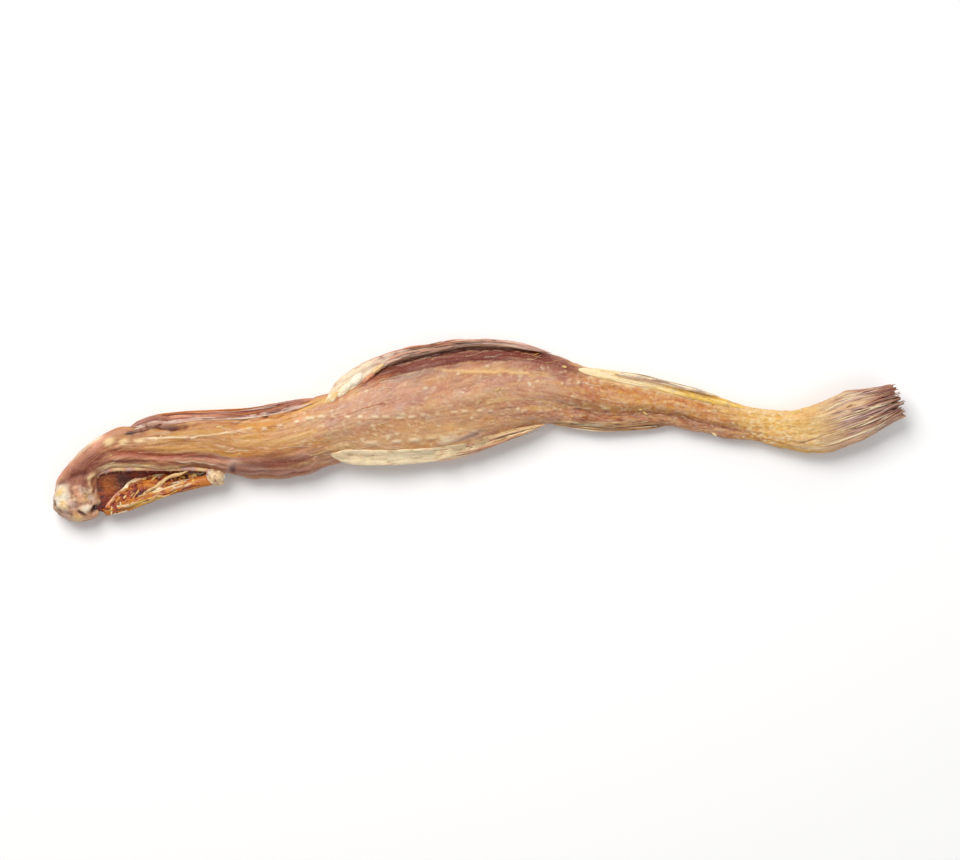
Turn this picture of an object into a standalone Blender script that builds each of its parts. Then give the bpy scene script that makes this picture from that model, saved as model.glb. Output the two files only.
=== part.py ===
"""A dried bombay duck (Harpadon nehereus) lying on its right flank, as one solid.

The drawing is in millimetres: X runs from the snout to the tail, Y from the belly to the
back, Z up from the table. The trunk is a loft along a bent spine; the fins, the jaws, the
jaw knob, the mouth lining and the eyes are joined to it, and the gill slit and the space
under the table plane are cut away.
"""

import math

import bmesh
import bpy
import numpy as np
from mathutils import Vector

MM = 0.001

# Sizes that drive the fish.
LENGTH = 210.0
RINGS = 88
RING_POINTS = 30
SHEET_THICK = 1.0
BLADE_POINTS = 8
DORSAL_POWER = 0.86
UNDER_POWER = 0.62
MID_SHARE = 0.45
SEAM_MERGE = 1e-8

# The spine from snout to tail: x, y, half the height of the trunk, underside, thickness.
SPINE = [
    (-99.7, -22.1, 1.6, 2.6, 2.8),
    (-99.5, -20.8, 4.2, 1.5, 5.6),
    (-99.1, -17.6, 5.7, 0.9, 7.2),
    (-99.0, -14.2, 4.9, 0.8, 7.8),
    (-97.9, -10.9, 4.1, 0.8, 8.2),
    (-95.6, -7.7, 3.9, 0.9, 8.5),
    (-92.2, -5.5, 4.3, 1.0, 8.8),
    (-88.0, -4.1, 5.1, 1.0, 9.0),
    (-84.0, -3.9, 5.2, 1.0, 9.2),
    (-75.0, -3.2, 6.0, 0.9, 9.5),
    (-67.0, -2.6, 6.3, 0.7, 9.7),
    (-60.0, -3.4, 7.3, 0.1, 10.2),
    (-50.0, -3.4, 8.4, -0.3, 10.6),
    (-41.0, -0.8, 8.4, -0.6, 11.0),
    (-35.0, 1.3, 8.5, -0.7, 11.3),
    (-24.0, 4.0, 11.0, -0.7, 11.6),
    (-15.0, 6.1, 12.5, -0.7, 11.8),
    (-7.0, 7.6, 12.6, -0.7, 11.8),
    (2.6, 9.6, 11.1, -0.7, 11.4),
    (10.0, 10.2, 9.7, -0.7, 10.7),
    (16.0, 10.2, 8.4, -0.7, 10.1),
    (24.0, 9.0, 7.2, -0.7, 9.3),
    (33.0, 7.4, 6.6, -0.6, 8.4),
    (40.0, 6.9, 5.4, -0.5, 7.8),
    (48.0, 6.0, 4.8, -0.3, 7.1),
    (56.0, 3.9, 4.6, 0.1, 6.3),
    (62.0, 2.6, 4.3, 0.5, 5.8),
    (69.0, 1.6, 3.7, 1.1, 5.3),
    (75.0, 0.4, 4.6, 1.8, 5.2),
    (80.0, 0.2, 5.4, 2.4, 5.2),
    (84.5, 1.1, 6.1, 2.9, 5.0),
    (89.0, 2.8, 6.3, 3.5, 4.8),
    (95.0, 4.9, 5.7, 4.2, 4.4),
    (99.0, 6.4, 4.9, 4.7, 3.8),
    (103.0, 7.8, 4.2, 5.2, 3.0),
]

# Fins as blades that lie along the trunk: x, y, z, half width.
DORSAL_FIN = [
    (-37.5, 8.6, 7.6, 1.0),
    (-34.0, 10.6, 7.9, 2.0),
    (-29.5, 13.9, 8.0, 2.3),
    (-24.5, 16.8, 8.0, 1.9),
    (-18.0, 19.0, 7.9, 1.6),
    (-10.5, 20.5, 7.7, 1.4),
    (-2.5, 21.5, 7.5, 1.5),
    (5.0, 21.5, 7.0, 1.3),
    (11.0, 20.9, 6.6, 0.9),
    (16.0, 19.8, 6.2, 0.6),
]
PECTORAL_FIN = [
    (-85.5, 0.2, 8.6, 0.9),
    (-80.0, 1.6, 8.6, 1.5),
    (-72.0, 2.4, 8.8, 1.5),
    (-62.0, 2.8, 8.8, 1.4),
    (-54.0, 3.5, 8.9, 1.4),
    (-47.0, 5.4, 8.9, 1.3),
    (-40.5, 7.7, 8.6, 0.8),
]
PELVIC_FIN = [
    (-37.0, -6.0, 6.0, 1.1),
    (-33.0, -6.3, 6.4, 1.8),
    (-26.0, -6.4, 6.8, 1.9),
    (-18.0, -6.2, 6.8, 1.9),
    (-8.0, -5.2, 6.8, 1.9),
    (0.5, -3.1, 6.6, 1.7),
    (8.0, -0.6, 6.2, 1.3),
    (16.0, 1.8, 5.6, 0.7),
]
ADIPOSE_RIDGE = [
    (24.0, 15.2, 5.4, 0.8),
    (33.0, 13.6, 5.2, 1.3),
    (44.0, 11.4, 4.8, 1.5),
    (55.0, 8.4, 4.3, 1.3),
    (65.0, 5.8, 4.3, 0.7),
]
ANAL_FIN = [
    (18.0, 2.0, 3.6, 0.7),
    (27.0, 1.4, 3.4, 1.2),
    (36.0, 1.2, 3.2, 1.2),
    (46.0, 1.7, 3.0, 0.8),
]

# The jaw bones as rods: x, y, z, radius.
LEFT_DENTARY = [
    (-65.0, -11.6, 5.2, 1.4),
    (-71.0, -13.0, 5.9, 1.3),
    (-77.0, -14.6, 6.0, 1.25),
    (-83.0, -16.8, 5.6, 1.15),
    (-88.0, -18.8, 5.0, 1.05),
    (-92.4, -20.0, 4.2, 0.9),
]
RIGHT_DENTARY = [
    (-65.0, -10.2, 3.4, 1.3),
    (-71.5, -10.1, 3.0, 1.2),
    (-78.0, -10.4, 2.8, 1.15),
    (-83.5, -11.5, 2.8, 1.1),
    (-88.4, -15.0, 3.1, 1.0),
    (-92.4, -19.3, 3.9, 0.9),
]
MOUTH_LINING = [
    (-64.0, -8.8, 3.9, 1.8),
    (-75.0, -9.2, 3.5, 1.7),
    (-82.0, -10.1, 3.3, 1.8),
    (-87.0, -11.8, 3.3, 2.6),
    (-91.0, -14.6, 3.5, 3.0),
    (-93.4, -17.6, 3.8, 1.6),
]
FLOOR_THICK = 2.4
JAW_KNOB = (-64.9, -11.0, 5.8, 2.2)
LEFT_EYE = (-94.7, -18.5, 5.5, 1.2)
RIGHT_EYE = (-103.8, -17.5, 4.9, 1.2)
GILL_SLIT = [
    (-60.5, -12.6, 9.6, 1.2),
    (-60.8, -9.6, 9.4, 1.0),
    (-59.6, -6.6, 10.0, 0.8),
]


def smooth_stations(stations: list[tuple], count: int) -> np.ndarray:
    """Samples a Catmull-Rom curve through the stations at even steps of chord length."""
    rows = np.array(stations, float)
    steps = np.linalg.norm(np.diff(rows[:, :2], axis=0), axis=1)
    chord = np.concatenate([[0.0], np.cumsum(steps)])
    slopes = np.gradient(rows, chord, axis=0)
    out = []
    for at in np.linspace(0.0, chord[-1], count):
        i = min(int(np.searchsorted(chord, at, side="right")) - 1, len(rows) - 2)
        span = chord[i + 1] - chord[i]
        t = (at - chord[i]) / span
        start = rows[i] * (2 * t**3 - 3 * t**2 + 1) + slopes[i] * span * (t**3 - 2 * t**2 + t)
        end = rows[i + 1] * (3 * t**2 - 2 * t**3) + slopes[i + 1] * span * (t**3 - t**2)
        out.append(start + end)
    return np.array(out)


def bump(value: float, centre: float, width: float) -> float:
    """A bell of height 1 at the centre that is e^-1 at one width from it."""
    return math.exp(-(((value - centre) / width) ** 2))


def band(value: float, low: float, high: float, soft: float) -> float:
    """1 between low and high, fading to 0 over the soft length outside them."""
    rise = min(max((value - low) / soft + 1.0, 0.0), 1.0)
    fall = min(max((high - value) / soft + 1.0, 0.0), 1.0)
    return (3 - 2 * rise) * rise**2 * (3 - 2 * fall) * fall**2


def flank_relief(x: float, across: float) -> float:
    """The folds of the upper flank: how far the skin stands above the plain crown."""
    relief = 1.1 * band(x, -92.0, -64.0, 8.0) * bump(across, -0.72, 0.20)
    relief -= 1.2 * band(x, -88.0, -62.0, 8.0) * bump(across, -0.34, 0.20)
    relief += 0.6 * band(x, -96.0, -45.0, 10.0) * bump(across, 0.12, 0.22)
    relief -= 1.3 * band(x, -84.0, -70.0, 8.0) * bump(across, 0.50, 0.18)
    relief -= 2.2 * bump(x, -51.0, 9.0) * bump(across, -0.62, 0.30)
    relief -= 1.2 * band(x, -18.0, 14.0, 10.0) * bump(across, 0.80, 0.18)
    relief += 0.7 * band(x, -12.0, 18.0, 10.0) * bump(across, 0.48, 0.18)
    relief -= 0.7 * band(x, -30.0, 12.0, 8.0) * bump(across, -0.42, 0.13)
    relief += 0.5 * band(x, -34.0, 60.0, 8.0) * bump(across, -0.06, 0.16)
    relief -= 0.8 * band(x, 26.0, 62.0, 8.0) * bump(across, -0.55, 0.22)
    relief -= 1.0 * band(x, 76.0, 90.0, 6.0) * bump(across, -0.32, 0.16)
    relief += 0.25 * math.sin(0.33 * x + 5.0 * across) * band(x, -80.0, 70.0, 10.0)
    return relief


def brush_share(x: float) -> float:
    """How far the folded rays of the tail part: 0 on the trunk, 1 at the tail's end."""
    return min(max((x - 76.0) / 22.0, 0.0), 1.0)


def trunk_ring(row: np.ndarray, side: Vector, along: Vector) -> list[Vector]:
    """The points of one ring of the trunk, square to the spine."""
    x, y, half, low, thick = row
    middle = low + MID_SHARE * thick
    brush = brush_share(x)
    ring = []
    for i in range(RING_POINTS):
        angle = 2 * math.pi * i / RING_POINTS
        c, s = math.cos(angle), math.sin(angle)
        across = math.copysign(abs(c) ** 0.92, c)
        if s >= 0:
            height = (1 - MID_SHARE) * thick * s**DORSAL_POWER
            height += flank_relief(x, across) * s
        else:
            height = -MID_SHARE * thick * abs(s) ** UNDER_POWER
        height *= 0.93 + 0.07 * across
        swell = 1 + 0.07 * brush * math.cos(7 * angle + 0.6)
        ragged = 0.0
        if brush > 0.99:
            ragged = 1.8 * bump(across, -0.10, 0.30) - 0.7 * bump(across, -0.75, 0.25)
        centre = Vector((x, y, middle)) + along * ragged
        ring.append(centre + side * (half * across * swell) + Vector((0, 0, height * swell)))
    return ring


def closed_loft(name: str, rings: list[list[Vector]]) -> bpy.types.Object:
    """Rolls a grid into a tube through the rings, caps both ends, and returns the object."""
    mesh = bmesh.new()
    count = len(rings[0])
    bmesh.ops.create_grid(mesh, x_segments=count, y_segments=len(rings) - 1, size=1.0)
    mesh.verts.ensure_lookup_table()
    for row, ring in enumerate(rings):
        for column in range(count + 1):
            mesh.verts[row * (count + 1) + column].co = ring[column % count] * MM
    bmesh.ops.remove_doubles(mesh, verts=mesh.verts, dist=SEAM_MERGE)
    ends = [edge for edge in mesh.edges if edge.is_boundary]
    caps = bmesh.ops.holes_fill(mesh, edges=ends, sides=0)["faces"]
    bmesh.ops.poke(mesh, faces=caps)
    bmesh.ops.recalc_face_normals(mesh, faces=mesh.faces)
    return object_from(name, mesh)


def object_from(name: str, mesh: bmesh.types.BMesh) -> bpy.types.Object:
    """Puts a bmesh, already in metres, into the scene as an object."""
    data = bpy.data.meshes.new(name)
    mesh.to_mesh(data)
    mesh.free()
    made = bpy.data.objects.new(name, data)
    bpy.context.scene.collection.objects.link(made)
    return made


def trunk() -> bpy.types.Object:
    """Head, trunk and folded tail as one loft along the spine."""
    rows = smooth_stations(SPINE, RINGS)
    tangents = np.gradient(rows[:, :2], axis=0)
    rings = []
    for row, (tx, ty) in zip(rows, tangents):
        along = Vector((tx, ty, 0)).normalized()
        side = Vector((-along.y, along.x, 0))
        rings.append(trunk_ring(row, side, along))
    return closed_loft("dried_fish", rings)


def blade(name: str, stations: list[tuple], thick: float) -> bpy.types.Object:
    """A thin lens-shaped blade along the stations."""
    rows = smooth_stations(stations, 4 * len(stations))
    tangents = np.gradient(rows[:, :3], axis=0)
    rings = []
    for row, (tx, ty, _tz) in zip(rows, tangents):
        side = Vector((-ty, tx, 0)).normalized()
        lift = Vector((0, 0, 1))
        half = row[3]
        ring = []
        for i in range(BLADE_POINTS):
            angle = 2 * math.pi * i / BLADE_POINTS
            offset = side * (half * math.cos(angle)) + lift * (thick / 2 * math.sin(angle))
            ring.append(Vector(row[:3]) + offset)
        rings.append(ring)
    return closed_loft(name, rings)


def rod(name: str, stations: list[tuple]) -> bpy.types.Object:
    """A round bone along the stations."""
    rows = smooth_stations(stations, 3 * len(stations))
    tangents = np.gradient(rows[:, :3], axis=0)
    rings = []
    for row, tangent in zip(rows, tangents):
        along = Vector(tangent).normalized()
        side = along.cross(Vector((0, 0, 1))).normalized()
        lift = side.cross(along)
        ring = []
        for i in range(BLADE_POINTS):
            angle = 2 * math.pi * i / BLADE_POINTS
            offset = side * math.cos(angle) + lift * math.sin(angle)
            ring.append(Vector(row[:3]) + offset * row[3])
        rings.append(ring)
    return closed_loft(name, rings)


def ball(name: str, place: tuple, squash: float) -> bpy.types.Object:
    """An ellipsoid, flattened in Z by squash."""
    x, y, z, radius = place
    mesh = bmesh.new()
    bmesh.ops.create_icosphere(mesh, subdivisions=2, radius=radius * MM)
    bmesh.ops.scale(mesh, vec=(1, 1, squash), verts=mesh.verts)
    bmesh.ops.translate(mesh, vec=Vector((x, y, z)) * MM, verts=mesh.verts)
    return object_from(name, mesh)


def mouth_floor() -> bpy.types.Object:
    """The dried tissue between the two bones of the lower jaw."""
    count = 3 * len(LEFT_DENTARY)
    rings = []
    for left, right in zip(smooth_stations(LEFT_DENTARY, count), smooth_stations(RIGHT_DENTARY, count)):
        centre = Vector((left[:3] + right[:3]) / 2)
        across = Vector((left[:3] - right[:3]) / 2)
        lift = Vector((0, 0, FLOOR_THICK / 2))
        ring = []
        for i in range(BLADE_POINTS):
            angle = 2 * math.pi * i / BLADE_POINTS
            ring.append(centre + across * math.cos(angle) + lift * math.sin(angle))
        rings.append(ring)
    return closed_loft("mouth_floor", rings)


def table_block() -> bpy.types.Object:
    """Everything under the table plane."""
    mesh = bmesh.new()
    bmesh.ops.create_cube(mesh, size=1.0)
    bmesh.ops.scale(mesh, vec=Vector((LENGTH * 1.4, LENGTH * 0.6, 10.0)) * MM, verts=mesh.verts)
    bmesh.ops.translate(mesh, vec=(0, 0, -5.0 * MM), verts=mesh.verts)
    return object_from("table_block", mesh)


def combine(body: bpy.types.Object, others: list[bpy.types.Object], operation: str) -> None:
    """Applies one exact Boolean of the body with all the others, and removes them."""
    group = bpy.data.collections.new(operation.lower())
    for other in others:
        group.objects.link(other)
    bpy.context.scene.collection.children.link(group)
    modifier = body.modifiers.new(group.name, "BOOLEAN")
    modifier.operation = operation
    modifier.solver = "EXACT"
    modifier.operand_type = "COLLECTION"
    modifier.collection = group
    bpy.context.view_layer.update()
    graph = bpy.context.evaluated_depsgraph_get()
    body.data = bpy.data.meshes.new_from_object(body.evaluated_get(graph))
    body.modifiers.clear()
    for other in others:
        bpy.data.objects.remove(other, do_unlink=True)
    bpy.data.collections.remove(group)


def dried_skin() -> bpy.types.Material:
    """The amber skin of the dried fish."""
    material = bpy.data.materials.new("dried_skin")
    material.use_nodes = True
    shader = material.node_tree.nodes["Principled BSDF"]
    shader.inputs["Base Color"].default_value = (0.53, 0.30, 0.155, 1.0)
    shader.inputs["Roughness"].default_value = 0.55
    shader.inputs["Metallic"].default_value = 0.0
    return material


def settle(body: bpy.types.Object) -> None:
    """Moves the solid so that its box stands centred on the origin, and smooths its shading."""
    data = body.data
    points = np.array([v.co[:] for v in data.vertices])
    low, high = points.min(axis=0), points.max(axis=0)
    shift = Vector((-(low[0] + high[0]) / 2, -(low[1] + high[1]) / 2, -low[2]))
    for vertex in data.vertices:
        vertex.co += shift
    for face in data.polygons:
        face.use_smooth = True


def main() -> None:
    """Builds the fish."""
    for old in list(bpy.data.objects):
        bpy.data.objects.remove(old, do_unlink=True)
    bpy.context.scene.unit_settings.scale_length = 1.0

    body = trunk()
    joined = [
        blade("dorsal_fin", DORSAL_FIN, 1.3),
        blade("pectoral_fin", PECTORAL_FIN, 2.0),
        blade("pelvic_fin", PELVIC_FIN, 2.2),
        blade("adipose_ridge", ADIPOSE_RIDGE, 1.6),
        blade("anal_fin", ANAL_FIN, 1.4),
        blade("mouth_lining", MOUTH_LINING, SHEET_THICK),
        mouth_floor(),
        rod("left_dentary", LEFT_DENTARY),
        rod("right_dentary", RIGHT_DENTARY),
        ball("jaw_knob", JAW_KNOB, 0.9),
        ball("left_eye", LEFT_EYE, 1.0),
        ball("right_eye", RIGHT_EYE, 1.0),
    ]
    combine(body, joined, "UNION")
    combine(body, [blade("gill_slit", GILL_SLIT, 4.0), table_block()], "DIFFERENCE")
    settle(body)
    body.data.materials.clear()
    body.data.materials.append(dried_skin())


main()
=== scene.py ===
"""A dried bombay duck lying on its right flank, dressed as the market sells it.

The CAD solid is loaded as a fixed frame and its one node is replaced by finer pieces: the
wrinkled skin in three lengths, the eyes, the jaw bones with their needle teeth, the mouth
membranes, the folded fins, the brush of tail rays, lifted flakes and loose fibres. Sizes are
in millimetres in the drawing frame of the fish (X from snout to tail, Y from belly to back,
Z up from the table) and are turned into metres when a mesh is made.
"""

import logging
import math
from dataclasses import dataclass, field
from enum import Enum
from functools import lru_cache

import bmesh
import bpy
import numpy as np
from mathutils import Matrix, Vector
from mathutils.bvhtree import BVHTree

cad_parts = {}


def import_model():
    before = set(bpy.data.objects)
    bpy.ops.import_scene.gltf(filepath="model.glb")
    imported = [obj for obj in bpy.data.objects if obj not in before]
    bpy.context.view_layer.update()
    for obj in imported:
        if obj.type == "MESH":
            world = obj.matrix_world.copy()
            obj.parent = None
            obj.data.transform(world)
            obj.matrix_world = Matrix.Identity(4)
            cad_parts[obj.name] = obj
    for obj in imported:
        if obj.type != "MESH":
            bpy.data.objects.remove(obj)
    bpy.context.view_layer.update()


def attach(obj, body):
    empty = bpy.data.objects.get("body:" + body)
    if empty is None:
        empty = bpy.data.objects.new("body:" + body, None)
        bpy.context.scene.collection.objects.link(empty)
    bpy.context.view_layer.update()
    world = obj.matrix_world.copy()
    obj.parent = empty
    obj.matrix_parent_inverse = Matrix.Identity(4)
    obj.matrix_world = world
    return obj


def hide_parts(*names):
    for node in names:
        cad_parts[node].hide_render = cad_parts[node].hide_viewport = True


# Short names for arrays of values, node sockets, objects and seeded draws.
Grid = np.ndarray
Socket = bpy.types.NodeSocket
Piece = bpy.types.Object
Draw = np.random.Generator

LOG = logging.getLogger("dried_fish")
MM = 0.001
CAD_NODE = "dried_fish"
BODY = "root"
# How far apart, in metres, two points of a seam may lie and still be one.
SEAM_MERGE = 1e-8
# The light that the gloss adds, and how much the colours are deepened to make up for it.
GLOSS = 0.028
DEEPEN = 1.16
LUMINANCE = np.array([0.2126, 0.7152, 0.0722])
# From the drawing frame of the fish to the frame of the CAD, in millimetres.
DRAWING_TO_FRAME = np.array([0.035, -0.363, 0.0])
# A length past the tail end, and a height above the fish, in millimetres.
PAST_ENDS = 400.0
SKY = 60.0
# How full the section is towards its edges, over the flank and under it; 1 is an ellipse.
EDGE_POWER = 0.92
TOP_POWER = 0.86
UNDER_POWER = 0.62


def linear(red: float, green: float, blue: float) -> Grid:
    """Turns a display colour, with values from 0 to 255, into linear light."""
    share = np.array([red, green, blue], float) / 255.0
    return np.where(share <= 0.04045, share / 12.92, ((share + 0.055) / 1.055) ** 2.4)


class Hue(Enum):
    """The colours that a sun-dried bombay duck shows."""

    CHALK = (250, 240, 222)
    IVORY = (246, 230, 200)
    CREAM = (232, 204, 162)
    BUTTER = (228, 190, 132)
    GOLD = (210, 158, 90)
    OCHRE = (190, 140, 78)
    SAND = (212, 168, 120)
    TAN = (198, 150, 108)
    ROSE = (218, 162, 138)
    PINK = (204, 146, 122)
    AMBER = (186, 118, 66)
    RUST = (150, 70, 28)
    MAUVE = (158, 100, 82)
    PLUM = (120, 64, 54)
    LILAC = (200, 168, 158)
    GREY = (162, 140, 126)
    STONE = (120, 102, 84)
    UMBER = (98, 54, 32)
    SOOT = (52, 30, 20)
    HONEY = (210, 138, 72)
    LEMON = (230, 194, 110)
    MAROON = (90, 30, 18)

    def light(self) -> Grid:
        """The tissue's colour in linear light, deepened to stand under a pale gloss."""
        plain = linear(*self.value) - GLOSS
        grey = float(plain @ LUMINANCE)
        return np.maximum(grey + DEEPEN * (plain - grey), 0.004)


def palette(names: str) -> tuple[Hue, ...]:
    """The named hues, in the order given."""
    return tuple(Hue[name] for name in names.split())


def path_of(text: str) -> tuple[tuple[float, ...], ...]:
    """Reads places along a path, each a few numbers, with commas between the places."""
    return tuple(tuple(map(float, place.split())) for place in text.split(","))


def words_of(text: str) -> list[list[str]]:
    """The words of each row of a table whose rows end with semicolons."""
    return [row.split() for row in text.strip("; \n").split(";")]


def rows_of(kind: type, text: str) -> tuple:
    """Reads a table of one kind of mark, each row a hue's name and the mark's numbers."""
    return tuple(kind(Hue[name], *map(float, numbers)) for name, *numbers in words_of(text))


class Grain:
    """Seeded lattice noise for shapes and tones."""

    AXIS_KEYS = tuple(np.uint64(key) for key in (73856093, 19349663, 83492791))
    SEED_KEY = np.uint64(2654435761)
    STIR = np.uint64(1274126177)
    LOW_BITS = np.uint64(0xFFFFFF)

    def __init__(self, seed: int) -> None:
        """Keeps the seed that sets this grain apart from the others."""
        self.seed = np.uint64(seed * 7919 + 17)

    def _corner(self, cell: Grid) -> Grid:
        """A fixed random value from -1 to 1 for each lattice cell."""
        cell = cell.astype(np.int64).astype(np.uint64)
        bits = np.broadcast_to(self.seed * self.SEED_KEY, cell.shape[:-1]).copy()
        for axis, key in enumerate(self.AXIS_KEYS):
            bits ^= cell[..., axis] * key
        bits ^= bits >> np.uint64(13)
        bits *= self.STIR
        bits ^= bits >> np.uint64(16)
        return (bits & self.LOW_BITS).astype(float) / 0x7FFFFF - 1.0

    def noise(self, x: Grid, y: Grid, z: Grid) -> Grid:
        """Smooth noise at each point.

        Args:
            x: First coordinates, one lattice cell per unit.
            y: Second coordinates.
            z: Third coordinates.

        Returns:
            Values from -1 to 1.
        """
        points = stacked(x, y, z).astype(float)
        base = np.floor(points)
        part = points - base
        part = part * part * part * (part * (part * 6 - 15) + 10)
        total = np.zeros(points.shape[:-1])
        for i in (0, 1):
            for j in (0, 1):
                for k in (0, 1):
                    step = np.array([i, j, k])
                    share = np.prod(np.where(step, part, 1 - part), axis=-1)
                    total += share * self._corner(base + step)
        return total

    def fractal(self, x: Grid, y: Grid, z: Grid, octaves: int = 3) -> Grid:
        """Noise of several octaves, each half as strong and twice as fine.

        Args:
            x: First coordinates.
            y: Second coordinates.
            z: Third coordinates.
            octaves: How many octaves are summed.

        Returns:
            Values of about -1 to 1.
        """
        total, share = 0.0, 1.0
        for octave in range(octaves):
            fine = 2.0**octave
            total = total + share * self.noise(x * fine, y * fine, z * fine + 7.1 * octave)
            share *= 0.5
        return total / 1.3

    def billow(self, x: Grid, y: Grid, z: Grid, octaves: int = 2) -> Grid:
        """Noise folded into soft bulges parted by sharp grooves, as dried skin shrinks.

        Args:
            x: First coordinates.
            y: Second coordinates.
            z: Third coordinates.
            octaves: How many octaves are summed.

        Returns:
            Values from about -1 in the grooves to 1 on the bulges.
        """
        total, share, weight = 0.0, 1.0, 0.0
        for octave in range(octaves):
            fine = 2.0**octave
            fold = np.abs(self.noise(x * fine, y * fine, z * fine + 3.3 * octave))
            total = total + share * (2.8 * np.sqrt(fold + 0.004) - 1.35)
            weight += share
            share *= 0.5
        return total / weight


def bump(value: Grid, centre: float, width: float) -> Grid:
    """A bell of height 1 at the centre that is e^-1 at one width from it."""
    return np.exp(-(((value - centre) / width) ** 2))


def band(value: Grid, low: float, high: float, soft: float) -> Grid:
    """1 between low and high, fading smoothly to 0 over the soft length outside them."""
    rise = held((value - low) / soft + 1.0)
    fall = held((high - value) / soft + 1.0)
    return (3 - 2 * rise) * rise**2 * (3 - 2 * fall) * fall**2


def held(values: Grid) -> Grid:
    """Holds the values between 0 and 1."""
    return np.clip(values, 0.0, 1.0)


def mixed(tone: Grid, hue: Hue, share: Grid) -> Grid:
    """Moves the tones towards a hue by the given shares."""
    share = held(share)[..., None]
    return tone * (1 - share) + hue.light() * share


def coated(tone: Grid, *coats: tuple[Hue, Grid]) -> Grid:
    """Lays coats of colour over the tones in order, each a hue and its shares."""
    for hue, share in coats:
        tone = mixed(tone, hue, share)
    return tone


def graded(level: Grid, hues: tuple[Hue, ...]) -> Grid:
    """The tones that run through the hues as the level goes from 0 to 1."""
    place = held(level) * (len(hues) - 1)
    return sum(hue.light() * held(1 - np.abs(place - index))[..., None] for index, hue in enumerate(hues))


def oval(x: Grid, y: Grid, centre: tuple, radii: tuple, power: float) -> Grid:
    """A soft oval mark that is e^-1 at its radii; power 1 is a bell, and more is squarer."""
    return np.exp(-((((x - centre[0]) / radii[0]) ** 2 + ((y - centre[1]) / radii[1]) ** 2) ** power))


def round_angles(columns: int) -> Grid:
    """Angles at even steps round a whole turn."""
    return np.linspace(0.0, 2 * math.pi, columns + 1)[:-1]


def curve_through(places: tuple, count: int) -> Grid:
    """Samples a smooth curve through the places at even steps of chord length.

    Args:
        places: Rows whose first two values are x and y.
        count: How many samples are taken.

    Returns:
        The sampled rows.
    """
    rows = np.array(places, float)
    chord = run_along(rows[:, :2])
    slopes = np.gradient(rows, chord, axis=0)
    at = np.linspace(0.0, chord[-1], count)
    i = np.clip(np.searchsorted(chord, at, side="right") - 1, 0, len(rows) - 2)
    span = (chord[i + 1] - chord[i])[:, None]
    t = (at - chord[i])[:, None] / span
    start = rows[i] * (2 * t**3 - 3 * t**2 + 1) + slopes[i] * span * (t**3 - 2 * t**2 + t)
    end = rows[i + 1] * (3 * t**2 - 2 * t**3) + slopes[i + 1] * span * (t**3 - t**2)
    return start + end


def even(count: int) -> Grid:
    """Even steps from 0 to 1."""
    return np.linspace(0.0, 1.0, count)


def stacked(*parts: Grid) -> Grid:
    """Joins coordinates into places, each spread out to the same grid."""
    return np.stack(np.broadcast_arrays(*parts), axis=-1)


def unit(vectors: Grid) -> Grid:
    """Scales each vector to length one."""
    return vectors / np.maximum(np.linalg.norm(vectors, axis=-1, keepdims=True), 1e-12)


def run_along(points: Grid) -> Grid:
    """The length from the first point to each point of a path."""
    steps = np.linalg.norm(np.diff(points, axis=0), axis=1)
    return np.concatenate([[0.0], np.cumsum(steps)])


def left_of(path: Grid) -> Grid:
    """The level direction to the left of a path at each of its points."""
    along = unit(np.gradient(path[:, :2], axis=0))
    return np.stack([-along[:, 1], along[:, 0]], axis=1)


def resampled(at: Grid, places: Grid, rows: Grid) -> Grid:
    """Reads rows of values between their places."""
    return np.stack([np.interp(at, places, part) for part in rows.T], axis=1)


def path_distance(x: Grid, y: Grid, path: tuple) -> tuple[Grid, Grid]:
    """Measures how far each place is from a smooth path.

    Args:
        x: Places along the fish.
        y: Places across it.
        path: Places along the path.

    Returns:
        The distances, positive on the left of the path, and the share of the path passed.
    """
    rows = curve_through(path, 8 * len(path))
    near = np.full(x.shape, np.inf)
    signed = np.zeros(x.shape)
    share = np.zeros(x.shape)
    for index in range(len(rows) - 1):
        start, run = rows[index], rows[index + 1] - rows[index]
        part = held(((x - start[0]) * run[0] + (y - start[1]) * run[1]) / (run @ run))
        dx, dy = x - start[0] - part * run[0], y - start[1] - part * run[1]
        away = np.hypot(dx, dy)
        closer = away < near
        near = np.where(closer, away, near)
        signed = np.where(closer, np.where(run[0] * dy - run[1] * dx > 0, away, -away), signed)
        share = np.where(closer, (index + part) / (len(rows) - 1), share)
    return signed, share


def blurred(values: Grid, rows: int, columns: int) -> Grid:
    """Averages a grid over a window that wraps round the columns."""
    total = np.zeros_like(values)
    for step in range(-columns, columns + 1):
        total += np.roll(values, step, axis=1)
    total /= 2 * columns + 1
    padded = np.pad(total, ((rows, rows), (0, 0)), mode="edge")
    sums = np.cumsum(np.pad(padded, ((1, 0), (0, 0))), axis=0)
    return (sums[2 * rows + 1 :] - sums[: -2 * rows - 1]) / (2 * rows + 1)


@dataclass
class Patch:
    """A grid of points rolled round into a tube, with a tone, a crest and a flow for each.

    The crest says how far a point stands above its surroundings, from -1 to 1, and the flow
    holds the lengths in millimetres along, across and through the tissue, so that a pattern
    can follow the fibres.
    """

    points: Grid
    tone: Grid
    crest: Grid
    flow: Grid

    def rows(self, first: int, last: int) -> "Patch":
        """The patch between two of its rows."""
        part = slice(first, last)
        return Patch(self.points[part], self.tone[part], self.crest[part], self.flow[part])


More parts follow.
